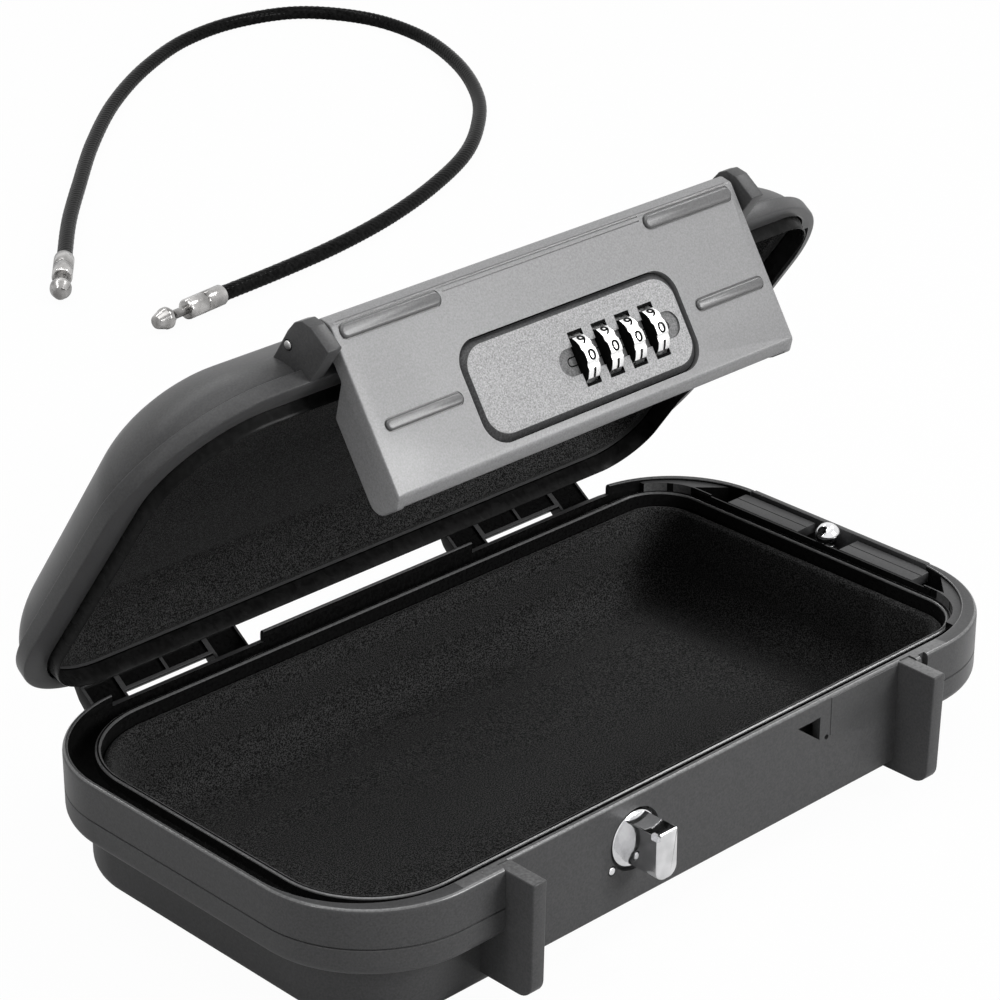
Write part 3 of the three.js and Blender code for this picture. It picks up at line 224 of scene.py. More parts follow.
# Cable ends: a brass ferrule crimped on to each end of the rope, and a turned mushroom head on a thin
# neck, which the lock plates close round. Both are nickel plated.
FERRULE = [
    (0.0, 0.5), (3.05, 0.5), (3.4, 0.5), (3.68, 0.62), (3.8, 0.9), (3.8, 9.4), (3.72, 9.6), (3.45, 9.75),
    (3.45, 10.1), (3.72, 10.25), (3.8, 10.45), (3.8, 18.2), (3.7, 18.6), (3.3, 19.0), (0.0, 19.0)]
HEAD = [
    (0.0, 19.1), (1.7, 19.1), (1.7, 25.0), (1.85, 25.3), (3.6, 27.75), (3.85, 28.0), (FITTING_R, 28.3),
    (FITTING_R, 29.6), (3.93, 29.9), (3.75, 30.2), (2.6, 33.7), (2.4, 34.1), (2.1, 34.25), (0.0, 34.3)]
nickel = surfaced("nickel_plate", (0.62, 0.61, 0.6), 0.2, 1.0, gloss=(260, 4, 0.12, 0.34),
                  tint=(120, 3, (0.2, 0.195, 0.19), (0.6, 0.59, 0.58)), grain=(2200, 0.008, 0.5))


def turned_part(profile, end, away, around=48):
    """A profile of (radius, distance) turned about a line that leaves a point; its ends close to poles."""
    radius, distance = np.maximum(np.array(profile), [1e-3, 0]).T
    away = away / np.linalg.norm(away)
    side = np.cross([0, 0, 1], away)
    side /= np.linalg.norm(side)
    up = np.cross(away, side)
    angle = np.arange(around) * 2 * np.pi / around
    around_line = np.cos(angle)[:, None] * side + np.sin(angle)[:, None] * up
    return end + distance[:, None, None] * away + radius[:, None, None] * around_line[None]


fittings = []
for letter, end, away in (("a", cable_line[0], cable_line[0] - cable_line[2]),
                          ("b", cable_line[-1], cable_line[-1] - cable_line[-3])):
    away = away * [1, 1, 0]
    ferrule = solid(turned_part(FERRULE, end, away))
    head = solid(turned_part(HEAD, end, away))
    fittings += [
        finished(ferrule, "ferrule_" + letter, "base", [nickel], ["cable_ferrule_" + letter]),
        finished(head, "locking_head_" + letter, "base", [nickel], ["cable_head_" + letter])]

# Base shell: one injection moulding in black ABS. A rounded tub hangs under a thick collar; inside the
# collar's lip a channel runs round a narrow ridge, and a flat latch panel stands between two fins.
BASE = (-123.5, 123.5, -67.5, 67.5, (34, 34, 34, 34))
TUB = (-114.5, 114.5, -58.5, 63, (25, 25, 26, 26))
LIP = (-122, 121.3, -63, 66, (32.5, 32.5, 32.5, 32.5))
CAVITY = (-112.5, 110.6, -56.5, 60.5, (26, 14, 14, 26))
RIDGE = (-114.1, 112.6, -58.1, 62.1, (27.6, 15.6, 15.6, 27.6))
CORNER_STEPS = 26
RIM = 39.4
CHANNEL = 33.0
RIDGE_TOP = 36.2
COLLAR_BOTTOM = 20.4
PANEL = -64.5
FIN_IN, FIN_OUT, FIN_FRONT = 72.0, 76.5, -77.1
HINGE = (70.65, 29.03)
HINGE_X = (-66, 66)
BARREL_R = 2.8
HINGE_BORE_R = 1.8
KNUCKLE_HALF = 14.7
CATCH = (-28.5, 26.5)
STOP_PIN = (-36.7, 20.4)
PLUNGER = (117.2, 0)
CABLE_HOLE_R = 4.6
BELOW, ABOVE = -1, 41
SEAM_GROOVE = [(0, 28.05), (0.1, 28.15), (0.45, 28.3), (0.45, 28.5), (0.1, 28.65), (0, 28.75)]
RIM_ROUND = [(0, 37.9), (0.06, 38.4), (0.25, 38.9), (0.55, 39.25), (0.85, 39.38), (1.05, RIM)]
LIP_SIDE = [(-0.35, RIM), (-0.1, 39.3), (0, 39.05), (0, 33.6), (0.18, 33.18), (0.6, CHANNEL)]
RIDGE_SIDE = [(-0.6, CHANNEL), (-0.18, 33.18), (0, 33.6), (0, 35.7), (0.12, 35.98), (0.42, 36.16),
              (0.55, RIDGE_TOP)]
CAVITY_EDGE = [(-0.55, RIDGE_TOP), (-0.42, 36.16), (-0.12, 35.98), (0, 35.7)]


def plan_ring(plan, inset, height):
    """Points round a plan, counter-clockwise from above. Each corner is a quarter circle about a centre
    that lies its own radius in from two sides; height is a number or a function of y."""
    x0, x1, y0, y1, (rear_left, rear_right, front_right, front_left) = plan
    radius = np.maximum(np.array([rear_right, rear_left, front_left, front_right], float) - inset, 1)[:, None]
    turn = np.radians(np.array([0, 90, 180, 270])[:, None] + np.linspace(0, 90, CORNER_STEPS + 1))
    corner_x, inward_x = np.array([[x1, x0, x0, x1], [-1, 1, 1, -1]], float)[:, :, None]
    corner_y, inward_y = np.array([[y1, y1, y0, y0], [-1, -1, 1, 1]], float)[:, :, None]
    x = (corner_x + inward_x * (inset + radius) + radius * np.cos(turn)).ravel()
    y = (corner_y + inward_y * (inset + radius) + radius * np.sin(turn)).ravel()
    return np.column_stack([x, y, height(y) if callable(height) else np.full(len(x), float(height))])


def plan_rings(plan, stops):
    """Several rings of one plan, each given as (inset, height)."""
    return [plan_ring(plan, inset, height) for inset, height in stops]


def fillet(plan, radius, flat, steps, inset=0.0):
    """A quarter round between a flat face and a wall: inset r(1 - sin a), height r(1 - cos a)."""
    angle = np.linspace(0, np.pi / 2, steps + 1)
    return [plan_ring(plan, inset + radius * (1 - s), flat + radius * (1 - c))
            for s, c in zip(np.sin(angle), np.cos(angle))]


def rounded(corners, radius, steps=5):
    """An outline whose corners are arcs: each arc's centre lies on the corner's bisector, and its points
    turn evenly from one side's touching point to the other's."""
    c = np.array(corners, float)
    u, v = np.roll(c, 1, 0) - c, np.roll(c, -1, 0) - c
    lu, lv = np.linalg.norm(u, axis=1), np.linalg.norm(v, axis=1)
    u, v = u / lu[:, None], v / lv[:, None]
    half = np.arccos(np.clip((u * v).sum(1), -0.9999, 0.9999)) / 2
    wanted = np.broadcast_to(np.asarray(radius, float), lu.shape) / np.tan(half)
    reach = np.minimum(wanted, 0.49 * np.minimum(lu, lv))
    r = np.maximum(reach * np.tan(half), 1e-4)
    middle = u + v
    middle /= np.linalg.norm(middle, axis=1)[:, None]
    centre = c + middle * (r / np.sin(half))[:, None]
    w0 = (c + u * reach[:, None] - centre) / r[:, None]
    w1 = (c + v * reach[:, None] - centre) / r[:, None]
    phi = (np.pi - 2 * half)[:, None, None]
    t = np.linspace(0, 1, steps + 1)[None, :, None]
    arc = (np.sin((1 - t) * phi) * w0[:, None] + np.sin(t * phi) * w1[:, None]) / np.sin(phi)
    return (centre[:, None] + r[:, None, None] * arc).reshape(-1, 2)


def box_outline(a0, a1, b0, b1, radius=0.0, steps=5):
    """A rectangle, with round corners if it has a radius."""
    corners = np.array([[a0, b0], [a1, b0], [a1, b1], [a0, b1]], float)
    return rounded(corners, radius, steps) if radius else corners


def circle(radius, centre, around=48):
    """A circle's points."""
    angle = np.arange(around) * 2 * np.pi / around
    return np.column_stack([centre[0] + radius * np.cos(angle), centre[1] + radius * np.sin(angle)])


def bar(outline, axis, start, end, edge=0.0, edge_start=None, steps=3):
    """An outline carried along an axis, from start to end. At each end it draws in over a rounded edge:
    by r(1 - sin a) along the mitre of its corners, while it moves r(1 - cos a) along the axis."""
    o = np.asarray(outline, float)
    area = (o[:, 0] * np.roll(o[:, 1], -1) - np.roll(o[:, 0], -1) * o[:, 1]).sum()
    o = o if area > 0 else o[::-1]
    ahead = np.roll(o, -1, 0) - o
    ahead /= np.maximum(np.linalg.norm(ahead, axis=1), 1e-9)[:, None]
    normal = np.column_stack([ahead[:, 1], -ahead[:, 0]])
    before = np.roll(normal, 1, 0)
    mitre = (normal + before) / np.maximum(1 + (normal * before).sum(1), 0.4)[:, None]
    first = edge if edge_start is None else edge_start
    rings = []
    for at, r, way in ((start, first, 1), (end, edge, -1)):
        angle = np.linspace(0, np.pi / 2, steps + 1) if r else np.array([np.pi / 2])
        part = [(at + way * r * (1 - np.cos(a)), o - mitre * r * (1 - np.sin(a))) for a in angle]
        rings += part if way == 1 else part[::-1]
    order = {"x": (2, 0, 1), "y": (0, 2, 1), "z": (0, 1, 2)}[axis]
    return solid([np.column_stack([flat, np.full(len(flat), at)])[:, order] for at, flat in rings])


def combine(body, operation, *others):
    """Adds, takes away or keeps the overlap of closed bodies, and drops the ones that were used."""
    for other in others:
        step = body.modifiers.new("step", "BOOLEAN")
        step.operation, step.object, step.solver = operation, other, "MANIFOLD"
    bpy.context.view_layer.update()
    made = bpy.data.meshes.new_from_object(body.evaluated_get(bpy.context.evaluated_depsgraph_get()))
    body.modifiers.clear()
    body.data = made
    for other in others:
        bpy.data.objects.remove(other)
    return body


def block(x0, x1, y0, y1, z0, z1, edge=0.0):
    """A rectangle carried up."""
    return bar(box_outline(x0, x1, y0, y1), "z", z0, z1, edge)


def slab_of(plan, z0, z1, inset=0.0):
    """A plan carried up."""
    return solid(plan_rings(plan, [(inset, z0), (inset, z1)]))


def moulded(name, dark, light, roughness, grain, height, strength, gloss=0.3):
    """Moulded plastic: a spark-eroded grain in the mould leaves a fine bump, and a slow cloud of flow
    marks varies tone and gloss."""
    material, tree, shader, place = nodes_of(name, light, sum(roughness) / 2)
    shader.inputs["Specular IOR Level"].default_value = gloss
    tree.links.new(spread(tree, noise(tree, place, 34, 5), *roughness), shader.inputs["Roughness"])
    tinted(tree, shader, spread(tree, noise(tree, place, grain * 0.8, 3), 0, 1, 0.3, 0.7), dark, light)
    raised(tree, shader, noise(tree, place, grain, 2), height, strength)
    return material


shell_black = moulded("satin_black_abs", (0.05, 0.05, 0.051), (0.07, 0.07, 0.071), (0.3, 0.4), 2200, 0.012,
                      0.4, 0.16)
# A polished black far darker than the shell: a glossier finish, and painted shade for the channel, the cavity
# walls and the hinge recesses.
gloss_shade_black = moulded("polished_black_painted_shade", (0.004, 0.004, 0.004), (0.008, 0.008, 0.008), (0.12, 0.2), 1200,
                      0.006, 0.3, 0.14)
# A lighter black for the narrow rounded edges: painted highlight, standing in for the bright lines that light
# draws along them.
highlight_black = moulded("painted_highlight_black_abs", (0.09, 0.09, 0.091), (0.14, 0.14, 0.141), (0.2, 0.28), 1500, 0.006,
                     0.3, 0.5)

shell = solid(fillet(TUB, 6, 0, 9) + plan_rings(TUB, [(0, 20.3)]) + fillet(BASE, 3, COLLAR_BOTTOM, 7)
              + plan_rings(BASE, SEAM_GROOVE + RIM_ROUND) + plan_rings(LIP, LIP_SIDE)
              + plan_rings(RIDGE, RIDGE_SIDE) + plan_rings(CAVITY, CAVITY_EDGE)
              + fillet(CAVITY, 8, 2.4, 8)[::-1])
panel_top = [(-64.7, 38.6), (PANEL, 38.6), (-64.44, 38.95), (-64.28, 39.22), (-64.0, 39.37), (-63.7, RIM),
             (-63.7, 40), (-64.7, 40)]
combine(shell, "DIFFERENCE", block(-FIN_OUT, FIN_OUT, -80, PANEL, BELOW, ABOVE),
        bar(panel_top, "x", -FIN_IN - 1, FIN_IN + 1))
fin_outline = rounded([(-63.4, 39.1), (FIN_FRONT, 38.9), (FIN_FRONT + 0.9, 5.7), (-58, 5.7), (-58, 30),
                       (-63.4, 32)], [0.5, 0.5, 4.6, 0.5, 0.5, 0.5], 7)
band_outline = [(PANEL - 0.14, 27.4), (PANEL - 0.14, 38.4), (PANEL + 0.6, 38.8), (PANEL + 0.6, 26.2)]
knuckle_outline = rounded([(66.4, 22.03), (68, 22.03), (70.65, 26.23), (70.65, 31.83), (66.4, 31.83)],
                          0.35, 2)
parts = [block(-FIN_IN - 1, FIN_IN + 1, PANEL, -57.5, 9, 25), bar(band_outline, "x", 45.2, FIN_IN + 1),
         bar(fin_outline, "x", -FIN_OUT, -FIN_IN, 0.45), bar(fin_outline, "x", FIN_IN, FIN_OUT, 0.45)]
for middle in HINGE_X:
    for outline in (knuckle_outline, circle(BARREL_R, HINGE)):
        parts.append(bar(outline, "x", middle - KNUCKLE_HALF, middle + KNUCKLE_HALF, 0.3))
combine(shell, "UNION", *parts)
chamber = combine(block(112.6, 121.3, -48, 50, 24, RIM + 1), "INTERSECT", slab_of(LIP, 23, 42))
hinge_gaps = [block(x0, x1, 65, 68.5, RIDGE_TOP, ABOVE) for x0, x1 in ((-91, -39), (39, 94.5))]
combine(shell, "DIFFERENCE", chamber, block(121.1, 124.5, -33.3, 33.8, 24, ABOVE),
        block(-69, 69, -62, -58.8, BELOW, 31), *hinge_gaps)


def deck_of(x0, y0, y1, near, far):
    """A deck across one of the right-hand corners, outside the ridge, with a slanting side that runs from
    near, at the ridge, to far, at the lip."""
    past = far + 0.5 if far < 0 else far - 0.5
    slant = bar([(113.0, near), (121.0, far), (121.0, past), (113.0, past)], "z", 30, ABOVE)
    return combine(block(x0, 123, y0, y1, 32.5, 38.5), "DIFFERENCE", slab_of(RIDGE, 31, ABOVE, -0.05), slant)


decks = [deck_of(100, -66, -39.5, -46.5, -38.5), deck_of(104, 41.5, 68, 48.5, 40.5)]
upstand = combine(slab_of(RIDGE, 35, 38.2), "DIFFERENCE", slab_of(RIDGE, 34, 39, 0.4))
combine(upstand, "INTERSECT", block(108, 114, -42, 46, 34, 40))
combine(shell, "UNION", upstand, block(112.1, 121, -5, 5, 23, 30), block(-38.1, -18.9, -64, -58.3, 31, 36),
        *[combine(deck, "INTERSECT", slab_of(LIP, 30, 42, -0.2)) for deck in decks])
combine(shell, "DIFFERENCE", block(-36.4, -20.6, -62, -58.8, 26.5, 34.4),
        bar(circle(8.75, CATCH, 72), "y", -66, -62.9), bar(circle(4.3, CATCH), "y", -64, -60.9),
        bar(circle(1.4, STOP_PIN, 24), "y", -66, -61.5),
        bar([(32, 34.2), (41, 27.4), (41, 34.2)], "y", -66, -63.2),
        bar([(33.7, 32.9), (41, 27.4), (41, 32.9)], "y", -64, -60.6),
        bar(circle(0.8, (43.8, 27.2), 24), "y", -66, -63.5), block(78.2, 80.8, -69, -65.9, 35.4, ABOVE),
        *[bar(circle(HINGE_BORE_R, HINGE), "x", x0, x1) for x0, x1 in ((-92.5, -39.5), (39.5, 92.5))],
        bar(circle(2.1, PLUNGER), "z", 22, 31))


def face_places(body):
    """The centres of a body's faces, in millimetres, and their normals."""
    centre, normal = np.zeros((2, len(body.data.polygons) * 3))
    body.data.polygons.foreach_get("center", centre)
    body.data.polygons.foreach_get("normal", normal)
    return centre.reshape(-1, 3).T * 1000, normal.reshape(-1, 3).T


def beyond(plan, x, y):
    """How far a point lies outside a plan: the distance from the plan's middle less the straight part of
    each half side, then less the nearest corner's radius."""
    x0, x1, y0, y1, (rear_left, rear_right, front_right, front_left) = plan
    right = x > (x0 + x1) / 2
    rear = y > (y0 + y1) / 2
    radius = np.where(rear, np.where(right, rear_right, rear_left), np.where(right, front_right, front_left))
    dx = np.abs(x - (x0 + x1) / 2) - (x1 - x0) / 2 + radius
    dy = np.abs(y - (y0 + y1) / 2) - (y1 - y0) / 2 + radius
    return np.hypot(np.maximum(dx, 0), np.maximum(dy, 0)) + np.minimum(np.maximum(dx, dy), 0) - radius


def painted(body, where):
    """Sets which of a body's materials each face takes."""
    body.data.polygons.foreach_set("material_index", np.asarray(where).astype(np.int32))


finished(shell, "base_moulding", "base", [shell_black, gloss_shade_black, highlight_black], ["base_shell"])
(x, y, z), (nx, ny, nz) = face_places(shell)
# The channel inside the lip and the cavity walls take the darker polished black: painted shade in these
# recesses, on a glossier finish.
channel = (beyond(LIP, x, y) < 0.12) & (z > 32.5) & (z < RIM - 0.1) & ~((nz > 0.9) & (z > 38.3))
hollow = (beyond(CAVITY, x, y) < 0.1) & (z > 2.2)
# Ridge, lip, panel top and rim roundings take the lighter black: painted highlight.
ridge_edge = (z > 35.72) & (z < 36.19) & (beyond(RIDGE, x, y) < 0.1) & (beyond(CAVITY, x, y) > -0.1)
lip_edge = (z > 39.06) & (z < 39.37) & (beyond(LIP, x, y) < 0.4)
panel_edge = (np.abs(x) < FIN_IN) & (y < -63.9) & (z > 38.62)
rim_edge = (z > 38.95) & (z < 39.39) & (beyond(BASE, x, y) > -0.95)
painted(shell, np.where(ridge_edge | lip_edge | panel_edge | rim_edge, 2, channel | hollow))

# Base liner: a tray of black foam faced with knitted cloth, pressed warm over a former and pushed into
# the cavity, so its upper edge is soft and its floor a little full.
FLOOR = 5.7
TRAY_T = 3.3
TRAY_EDGE_R = 9
TRAY_EDGE_Z = 30.5
foam_cloth, tree, shader, place = nodes_of("knit_faced_foam", (0.012, 0.012, 0.012), 0.9)
knit = tree.nodes.new("ShaderNodeTexVoronoi")
knit.inputs["Scale"].default_value = 2100
tree.links.new(place, knit.inputs["Vector"])
flecks = spread(tree, noise(tree, place, 2900, 1), 0, 1, 0.42, 0.66)
tinted(tree, shader, flecks, (0.006, 0.006, 0.006), (0.066, 0.066, 0.066))
raised(tree, shader, knit.outputs["Distance"], 0.14, 0.6)
tree.links.new(spread(tree, noise(tree, place, 60), 0.82, 0.98), shader.inputs["Roughness"])
shader.inputs["Specular IOR Level"].default_value = 0.05
shader.inputs["Sheen Weight"].default_value = 0.08
shader.inputs["Sheen Roughness"].default_value = 0.4


def quilted(rings, depth, seed):
    """Presses slow hollows of a fraction of a millimetre into foam: a sum of long waves in x, y and z."""
    rings = np.array(rings)
    x, y, z = rings[..., 0], rings[..., 1], rings[..., 2]
    wave = (np.sin(x / 17 + seed) * np.sin(y / 13 + 2 * seed) + 0.6 * np.sin((x + y) / 9 + z / 7 + seed)
            + 0.4 * np.sin((x - y) / 5.5 + z / 5))
    rings[..., 2] += depth * wave
    return rings


outer_wall = plan_rings(CAVITY, [
    (8.3, 2.7), (3.2, 4.2), (0.9, 7.5), (0.3, 11), (0.3, 31.2), (0.5, 31.8), (1.1, 32.2), (1.9, 32.3),
    (2.6, 32.1), (3.1, 31.5), (TRAY_T, TRAY_EDGE_Z)])
down = np.linspace(0.1, 1, 8)
inner_wall = plan_rings(CAVITY, zip(TRAY_T + 0.35 * np.sin(np.pi * down),
                                    TRAY_EDGE_Z - down * (TRAY_EDGE_Z - FLOOR - TRAY_EDGE_R)))
inward = np.linspace(0.06, 1, 12)
inner_floor = fillet(CAVITY, TRAY_EDGE_R, FLOOR, 9, TRAY_T)[::-1][1:] + plan_rings(
    CAVITY, zip(TRAY_T + TRAY_EDGE_R + inward * 40, FLOOR + 0.5 * np.sin(inward * np.pi / 2)))
tray = solid(np.concatenate([outer_wall, quilted(inner_wall + inner_floor, 0.09, 0.7)]))
finished(tray, "foam_tray", "base", [foam_cloth], ["base_liner"], 60)

# Cable lock: an end cap with two holes, two sliding plates that grip the cable's necks, and a plated
# ball-headed plunger between them that drives the plates apart when it is pressed.
CABLE_HOLE_Y = 20
CABLE_HOLE_Z = 31
PLATE_NEAR, PLATE_FAR = 8, 35
PLATE_TRAVEL = 3
BALL_R = 3.7
cap = bar(box_outline(-33, 33.5, 24.3, RIM, 0.5), "x", 121.6, 123.5, 0.45, 0.1)
combine(cap, "DIFFERENCE", *[bar(circle(CABLE_HOLE_R, (side * CABLE_HOLE_Y, CABLE_HOLE_Z)), "x", 120, 125)
                             for side in (1, -1)])
finished(cap, "end_plate", "base", [shell_black], ["end_cap"])
plate_grey = moulded("satin_grey_abs", (0.035, 0.035, 0.036), (0.055, 0.055, 0.056), (0.34, 0.42), 1700,
                     0.02, 0.45)
for name, side in (("rear", 1), ("front", -1)):
    y0, y1 = sorted((side * PLATE_NEAR, side * PLATE_FAR))
    moved_lip = (*LIP[:2], LIP[2] - side * PLATE_TRAVEL, LIP[3] - side * PLATE_TRAVEL, LIP[4])
    plate = block(112.9, 121, y0, y1, 35.3, 38.3, 0.2)
    combine(plate, "UNION", block(119, 120.4, y0 + 3, y1 - 3, 24.3, 36.4))
    combine(plate, "INTERSECT", slab_of(moved_lip, 22, 42, 0.3))
    combine(plate, "DIFFERENCE", block(116.9, 117.2, y0 - 1, y1 + 1, 38.0, 39),
            bar(circle(CABLE_HOLE_R, (side * CABLE_HOLE_Y, CABLE_HOLE_Z)), "x", 118, 121))
    node_name = "lock_plate_" + name
    finished(plate, "sliding_plate_" + name, node_name, [plate_grey], [node_name])
chrome = surfaced("bright_chrome", (0.8, 0.8, 0.81), 0.08, 1.0, gloss=(300, 4, 0.05, 0.16),
                  tint=(160, 3, (0.68, 0.68, 0.69), (0.88, 0.88, 0.89)), grain=(900, 0.01, 0.25))
over_ball = np.linspace(-np.pi / 2 + 0.02, np.pi / 2, 26)[4:]
stem = [(0.0, 0.0), (1.6, 0.0), (1.8, 0.25), (1.8, 6.75)]
profile = np.vstack([stem, np.column_stack([BALL_R * np.cos(over_ball), 10 + BALL_R * np.sin(over_ball)])])
plunger = solid([np.column_stack([circle(max(r, 1e-3), PLUNGER), np.full(48, 28.5 + h)]) for r, h in profile])
finished(plunger, "release_ball", "release_pin", [chrome], ["release_pin"], 50)

# Catch: a die-cast tongue on a disc, chrome plated, held through the front panel by a washer and a nut;
# a small pin beside it stops it turning.
disc = bar(circle(7.8, CATCH, 72), "y", -64.2, -63.2, 0.1, 0.35)
tongue_outline = rounded([(-32, 33), (-32, 19.5), (-24.6, 19.5), (-24.6, 33)], [0.35, 3.1, 3.1, 0.35], 8)
tongue = bar(tongue_outline, "y", -75.4, -63.8, 0.1, 0.5)
combine(tongue, "DIFFERENCE", block(-33, -30.8, -76.5, -73.2, 31.4, 34),
        block(-26.9, -24, -72.35, -68.35, 23.9, 28.5))
combine(tongue, "UNION", disc, bar(circle(4, CATCH), "y", -63.6, -59.3))
finished(tongue, "catch_tongue", "base", [chrome], ["catch_post"])
key = bar(circle(1.1, STOP_PIN, 24), "y", -64.75, -62, 0.1, 0.4)
finished(key, "catch_stop_pin", "base", [chrome], ["catch_key"])

# Lid shell: a black ABS dome on a thin collar, moulded with the two hinges behind and two ears in front.
# It is drawn shut, as its tool was cut, and then turned open about the hinge pins.
LID = (-123.5, 123.5, -65, 66, (38, 38, 38, 38))
LID_OPEN = -54.15
COVER_PIN = (-66.45, 50.43)
COVER_FOLD = 21.85
COVER_BORE_R = 1.5
SHOULDER = 44.1
ROOF_RISE = 16.6
ARM_WIDTH = 11.5
LID_EDGE = [(2.0, 44.02), (0.6, 44.0), (0.3, 43.92), (0.08, 43.75), (0, 43.4), (0, 40.3), (0.12, 39.95),
            (0.45, 39.74), (0.7, 39.7)]
LID_MOUTH = [(-2.1, 39.7), (-1.88, 39.78), (-1.8, 40), (-1.8, 42), (0, 42)]
HOLLOW = [(0, 46.1), (0.3, 47.6), (0.85, 49), (1.5, 50), (2.7, 52), (4.5, 54), (6.9, 56), (10.5, 57.8)]


def swung(body, pivot, degrees):
    """Turns a mesh about a line along X through the pivot: y and z turn as a plane vector does."""
    co = np.zeros(len(body.data.vertices) * 3)
    body.data.vertices.foreach_get("co", co)
    co = co.reshape(-1, 3)
    y, z = co[:, 1] - pivot[0] * 0.001, co[:, 2] - pivot[1] * 0.001
    c, s = np.cos(radians(degrees)), np.sin(radians(degrees))
    co[:, 1], co[:, 2] = pivot[0] * 0.001 + c * y - s * z, pivot[1] * 0.001 + s * y + c * z
    body.data.vertices.foreach_set("co", co.ravel())
    body.data.update()
    return body


def opened(body):
    """From shut to the attitude of the photograph, about the hinge."""
    return swung(body, HINGE, LID_OPEN)


def folded(body):
    """The cover first hangs inward on its pin, then goes up with the lid."""
    return opened(swung(body, COVER_PIN, COVER_FOLD))


def sloped(z):
    """The roof stands a little higher at the latch: it falls by 1.6 mm for each half depth, at the top."""
    return lambda y: z - 1.6 * ((y - 0.5) / 65.5) * max(z - SHOULDER, 0) / ROOF_RISE


rise = np.linspace(0, np.pi / 2, 22)
dome = [plan_ring(LID, 2.2 + 20 * (1 - max(c, 0) ** 1.25), sloped(SHOULDER + ROOF_RISE * s**1.25))
        for s, c in zip(np.sin(rise), np.cos(rise))]
lid = solid(dome[::-1] + plan_rings(LID, LID_EDGE) + plan_rings(CAVITY, LID_MOUTH)
            + [plan_ring(CAVITY, inset, sloped(z)) for inset, z in HOLLOW])
ear_outline = rounded([(-58, 40), (FIN_FRONT, 40), (FIN_FRONT, 47.63), (-75.7, 50.83), (-73.25, 52.33),
                       (-69.45, 52.73), (-56, 52.13), (-56, SHOULDER)],
                      [0.35, 0.4, 0.8, 0.8, 1.0, 1.5, 0.35, 0.35], 4)
arm_outline = rounded([(67.85, 29.03), (73.45, 29.03), (71.9, 38.2), (69.1, SHOULDER), (65, SHOULDER),
                       (65, 39.9), (67.9, 39.9)], [0.35, 0.35, 2.5, 0.5, 0.35, 0.35, 0.4], 4)
web_outline = rounded([(67.9, 34.2), (69.9, 34.2), (70.1, 42.9), (68.5, SHOULDER), (65, SHOULDER),
                       (65, 39.9), (67.9, 39.9)], [0.3, 0.3, 0.4, 0.3, 0.25, 0.25, 0.4], 3)
parts = [bar(ear_outline, "x", -FIN_OUT, -FIN_IN, 0.3), bar(ear_outline, "x", FIN_IN, FIN_OUT, 0.3)]
for middle in HINGE_X:
    parts.append(bar(web_outline, "x", middle - 26.4, middle + 26.4, 0.2))
    for x0 in (middle - 15 - ARM_WIDTH, middle + 15):
        for outline in (arm_outline, circle(BARREL_R, HINGE)):
            parts.append(bar(outline, "x", x0, x0 + ARM_WIDTH, 0.3))
combine(lid, "UNION", *parts)
pocket = combine(block(113.3, 121.3, -47, 51, 38, 43.4), "INTERSECT", slab_of(LID, 37, 45, 2.2))
for middle in HINGE_X:
    combine(lid, "DIFFERENCE", *[
        block(middle + a, middle + b, 66, 68.7, bottom, RIM)
        for a, b, bottom in ((-14.2, -0.5, 35.2), (0.5, 14.2, 35.2), (-25.6, -15.9, 32.6),
                             (15.9, 25.6, 32.6))])
combine(lid, "DIFFERENCE", pocket, bar(circle(COVER_BORE_R, COVER_PIN), "x", -80, 80),
        bar(circle(HINGE_BORE_R, HINGE), "x", -120, 120))
(x, y, z), (nx, ny, nz) = face_places(lid)
# The lid's mouth and the hinge recesses take the darker polished black: painted shade in these hollows, on a
# glossier finish.
mouth = (beyond(CAVITY, x, y) < 2.2) & (z < 42.5)
hinge_places = (np.abs(np.abs(x) - HINGE_X[1]) < 27) & (y > 64) & (z < 43.3)
recesses = hinge_places & (ny < 0.3) & ~((y < 68.2) & (ny < -0.5))
# The rounded lip of the lid's mouth takes the lighter black too: painted highlight.
mouth_edge = (beyond(CAVITY, x, y) < 2.12) & (z > 39.69) & (z < 40.02) & (nz < 0.9)
finished(opened(lid), "lid_moulding", "lid", [shell_black, gloss_shade_black, highlight_black], ["lid_shell"])
painted(lid, np.where(mouth_edge, 2, mouth | recesses))

# Lid gasket: a black rubber ring pushed into a groove round the lid's mouth; its lower edge is bevelled
# and lands on the base's ridge.
rubber = surfaced("gasket_rubber", (0.006, 0.006, 0.006), 0.25, 0.0, gloss=(120, 3, 0.2, 0.32),
                  tint=(500, 2, (0.006, 0.006, 0.006), (0.012, 0.012, 0.012)),
                  grain=(1400, 0.02, 0.4), specular=0.06)
gasket = solid(plan_rings(CAVITY, [
    (-0.2, 41.7), (-0.2, 36.7), (-0.3, 36.55), (-0.45, 36.5), (-0.6, 36.6), (-0.8, 37.4), (-1.1, 39),
    (-1.35, 40.3), (-1.4, 40.9), (-1.4, 41.7)]), endless=True)
finished(opened(gasket), "lid_seal", "lid", [rubber], ["lid_gasket"], 50)

# Lid liner: the same cloth-faced foam, formed to the inside of the roof and glued there.
LINER_T = 2.8
LINER_RIM = 42.7
pad_outside = [plan_ring(CAVITY, 0.3, LINER_RIM)]
pad_outside += [plan_ring(CAVITY, inset + 0.3, sloped(z - 0.4)) for inset, z in HOLLOW]
pad_rim = plan_rings(CAVITY, [(2.2, LINER_RIM + 0.1), (LINER_T, 43.4)])
pad_flat = [plan_ring(CAVITY, 13.3 + s * 38, sloped(55.0 - 0.3 * np.sin(s * np.pi / 2)))
            for s in np.linspace(1, 0.06, 12)]
pad_wall = [plan_ring(CAVITY, inset + LINER_T, sloped(z - LINER_T)) for inset, z in HOLLOW[::-1]]
pad_inside = quilted(pad_flat + pad_wall, 0.1, 1.9)
lid_pad = solid(np.concatenate([pad_outside[::-1], pad_rim, pad_inside[::-1]]))
finished(opened(lid_pad), "lid_foam", "lid", [foam_cloth], ["lid_liner"], 60)

